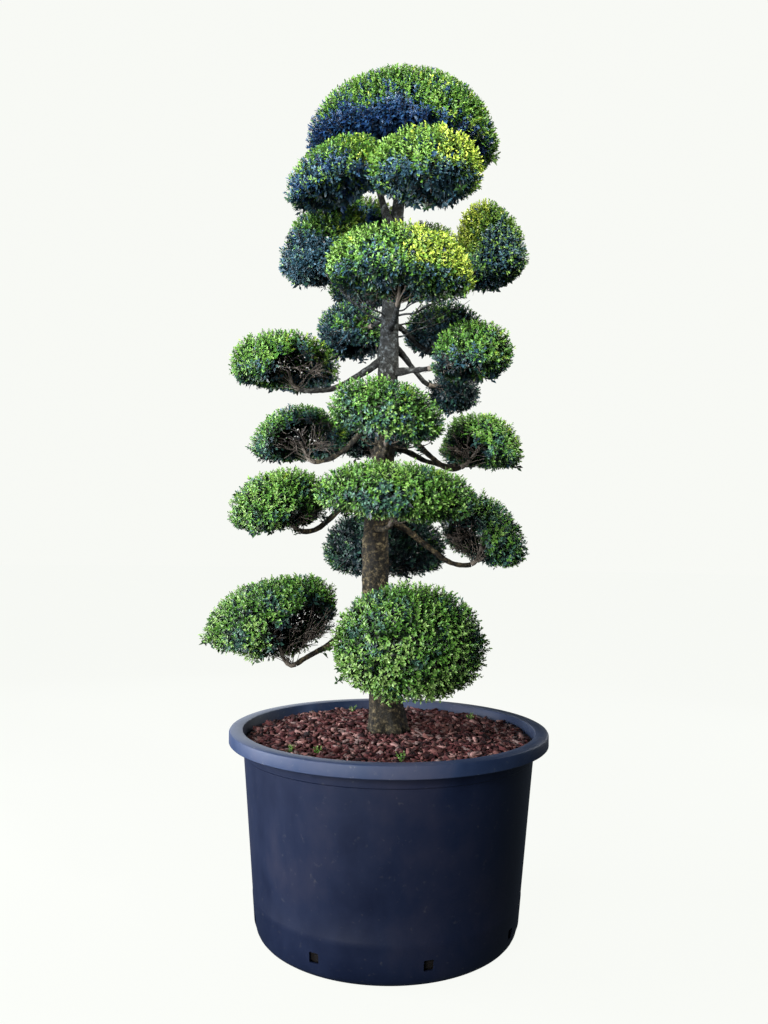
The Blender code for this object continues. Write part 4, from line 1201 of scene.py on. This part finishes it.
def growBareTwigs(pad, limbs, twigs, rng):
    # Straight leafless twigs fan out from the foot on the open side, and fork
    look = bareLook
    count = int(look["count"] * pad["bare"] ** 2 * math.sqrt(pad["area"] / look["area"]))
    headings = unit(np.array(pad["open"]) + rng.normal(0, look["fan"], (count, 3)))
    ends = padSkin(pad, headings, rng.uniform(*look["inset"], count))
    starts, ways = nearestPlaces(limbs, ends, look["straight"], 1, 4)
    span = ends - starts
    handles = starts + span * 0.5 + ways * look["follow"] * np.linalg.norm(span, axis=1, keepdims=True)
    lines = curved(starts, handles, ends, look["steps"])
    wander(lines, look["wander"], rng)
    lines = lines[limbClear(lines[:, -1], pad, look["margin"])]
    twigs["fine"].add(lines, np.linspace(*look["radii"], look["steps"] + 1))
    forks = lines[:, 2]
    ways = unit(unit(lines[:, 3] - forks) + rng.normal(0, look["forkFan"], forks.shape))
    forks = np.stack([forks, forks + ways * look["forkLength"]], axis=1)
    twigs["fine"].add(forks, np.array(look["forkRadii"]))


def growPad(pad, twigs, sprays, seed):
    rng = np.random.default_rng(seed)
    shift = Vector(rng.uniform(0, 60, 3))
    limbs = growLimbs(pad, twigs, rng)
    branchlets = growBranchlets(pad, limbs, twigs, rng)
    growShoots(pad, branchlets, twigs, sprays, shift, rng)
    growInnerLeaves(pad, sprays, rng)
    growBareTwigs(pad, limbs, twigs, rng)


twigColors = {"twigGrey": (0.095, 0.080, 0.066), "twigBrown": (0.095, 0.078, 0.066),
              "twigDark": (0.016, 0.013, 0.013)}
twigSides = {"thick": 6, "fine": 3, "shoot": 3}


def makeFoliage():
    twigMaterials = [newMaterial(name, color, 0.85, 0.25) for name, color in twigColors.items()]
    for tier in range(1, 8):
        members = [name for name in pads if name.startswith(str(tier))]
        twigs = {kind: Lines() for kind in twigSides}
        sprays = []
        for name in members:
            growPad(pads[name], twigs, sprays, seed=100 * tier + members.index(name))
        leaves = joinedMesh(f"leavesTier{tier}", sprays)
        finishPiece(pieceFromMesh(leaves.name, leaves, leafMaterials, smooth=False), "foliage",
                    *("pad_" + name for name in members))
        tubes = joinedMesh(f"twigsTier{tier}", [twigs[kind].tubes(sides, number)
                                                for number, (kind, sides) in enumerate(twigSides.items())])
        finishPiece(pieceFromMesh(tubes.name, tubes, twigMaterials), "bark")
        print(f"tier {tier}: {len(members)} pads, {len(leaves.polygons) // 2} leaves of",
              f"{triangleCount(leaves)} triangles, {triangleCount(tubes)} twig triangles")


makeFoliage()


# Floor and light

floorLook = {"radius": 40.0, "color": (0.02, 0.02, 0.02), "glow": (0.930, 0.945, 0.907)}
backdropColor = (0.938, 0.952, 0.914)
ambientLook = {"color": (0.68, 0.86, 1.00), "strength": 0.11}
lights = {
    "leftSoftbox": dict(place=(-3.6, -0.3, 1.5), size=2.6, power=390, color=(0.93, 0.95, 1.0)),
    "frontSoftbox": dict(place=(-2.0, -3.3, 1.4), size=2.4, power=250, color=(1.0, 0.99, 0.96)),
    "backSoftbox": dict(place=(-1.4, 4.2, 2.4), size=3.6, power=90, color=(0.88, 0.94, 1.0)),
    "rightSoftbox": dict(place=(2.9, 3.0, 1.9), size=2.6, power=60, color=(0.92, 0.96, 1.0)),
}
softboxAim = (0, 0, 1.4)
# Two narrow lights reach the crown's top and right, and the front of the foliage, more than the pot
spotlights = {
    "keyLight": dict(place=(2.0, -2.2, 4.4), aim=(0.05, -0.10, 2.00), radius=0.35, power=2050, angle=26.0,
                     color=(1.0, 0.96, 0.84)),
    "crownLight": dict(place=(-1.7, -3.4, 2.6), aim=(0.0, -0.10, 1.70), radius=0.6, power=1700, angle=36.0,
                       color=(0.90, 0.96, 1.0)),
}


def placeLamp(name, kind, look, aim):
    data = bpy.data.lights.new(name, kind)
    data.energy = look["power"]
    data.color = look["color"]
    lamp = bpy.data.objects.new(name, data)
    scene.collection.objects.link(lamp)
    lamp.location = look["place"]
    lamp.rotation_euler = (Vector(aim) - lamp.location).to_track_quat("-Z", "Y").to_euler()
    return data


def makeStage():
    builder = bmesh.new()
    bmesh.ops.create_circle(builder, cap_ends=True, segments=96, radius=floorLook["radius"])
    paleFloor = newMaterial("paleFloor", floorLook["color"], 0.9, 0.0)
    shader = paleFloor.node_tree.nodes["Principled BSDF"]
    shader.inputs["Emission Color"].default_value = (*floorLook["glow"], 1)
    shader.inputs["Emission Strength"].default_value = 1.0
    floor = pieceFromBmesh("floor", builder, [paleFloor], smooth=False)
    floor.visible_diffuse = False
    floor.visible_glossy = False
    for name, look in lights.items():
        data = placeLamp(name, "AREA", look, softboxAim)
        data.shape = "DISK"
        data.size = look["size"]
    for name, look in spotlights.items():
        data = placeLamp(name, "SPOT", look, look["aim"])
        data.shadow_soft_size = look["radius"]
        data.spot_size = math.radians(look["angle"])
        data.spot_blend = 1.0
    # A dim sky lights the plant, while the camera sees a plain pale backdrop
    world = bpy.data.worlds.new("world")
    scene.world = world
    world.use_nodes = True
    tree = world.node_tree
    ambient = tree.nodes["Background"]
    ambient.inputs["Color"].default_value = (*ambientLook["color"], 1)
    ambient.inputs["Strength"].default_value = ambientLook["strength"]
    backdrop = tree.nodes.new("ShaderNodeBackground")
    backdrop.inputs["Color"].default_value = (*backdropColor, 1)
    seen = tree.nodes.new("ShaderNodeLightPath")
    mixed = tree.nodes.new("ShaderNodeMixShader")
    tree.links.new(seen.outputs["Is Camera Ray"], mixed.inputs[0])
    tree.links.new(ambient.outputs[0], mixed.inputs[1])
    tree.links.new(backdrop.outputs[0], mixed.inputs[2])
    tree.links.new(mixed.outputs[0], tree.nodes["World Output"].inputs["Surface"])
    scene.view_settings.view_transform = "Standard"


makeStage()
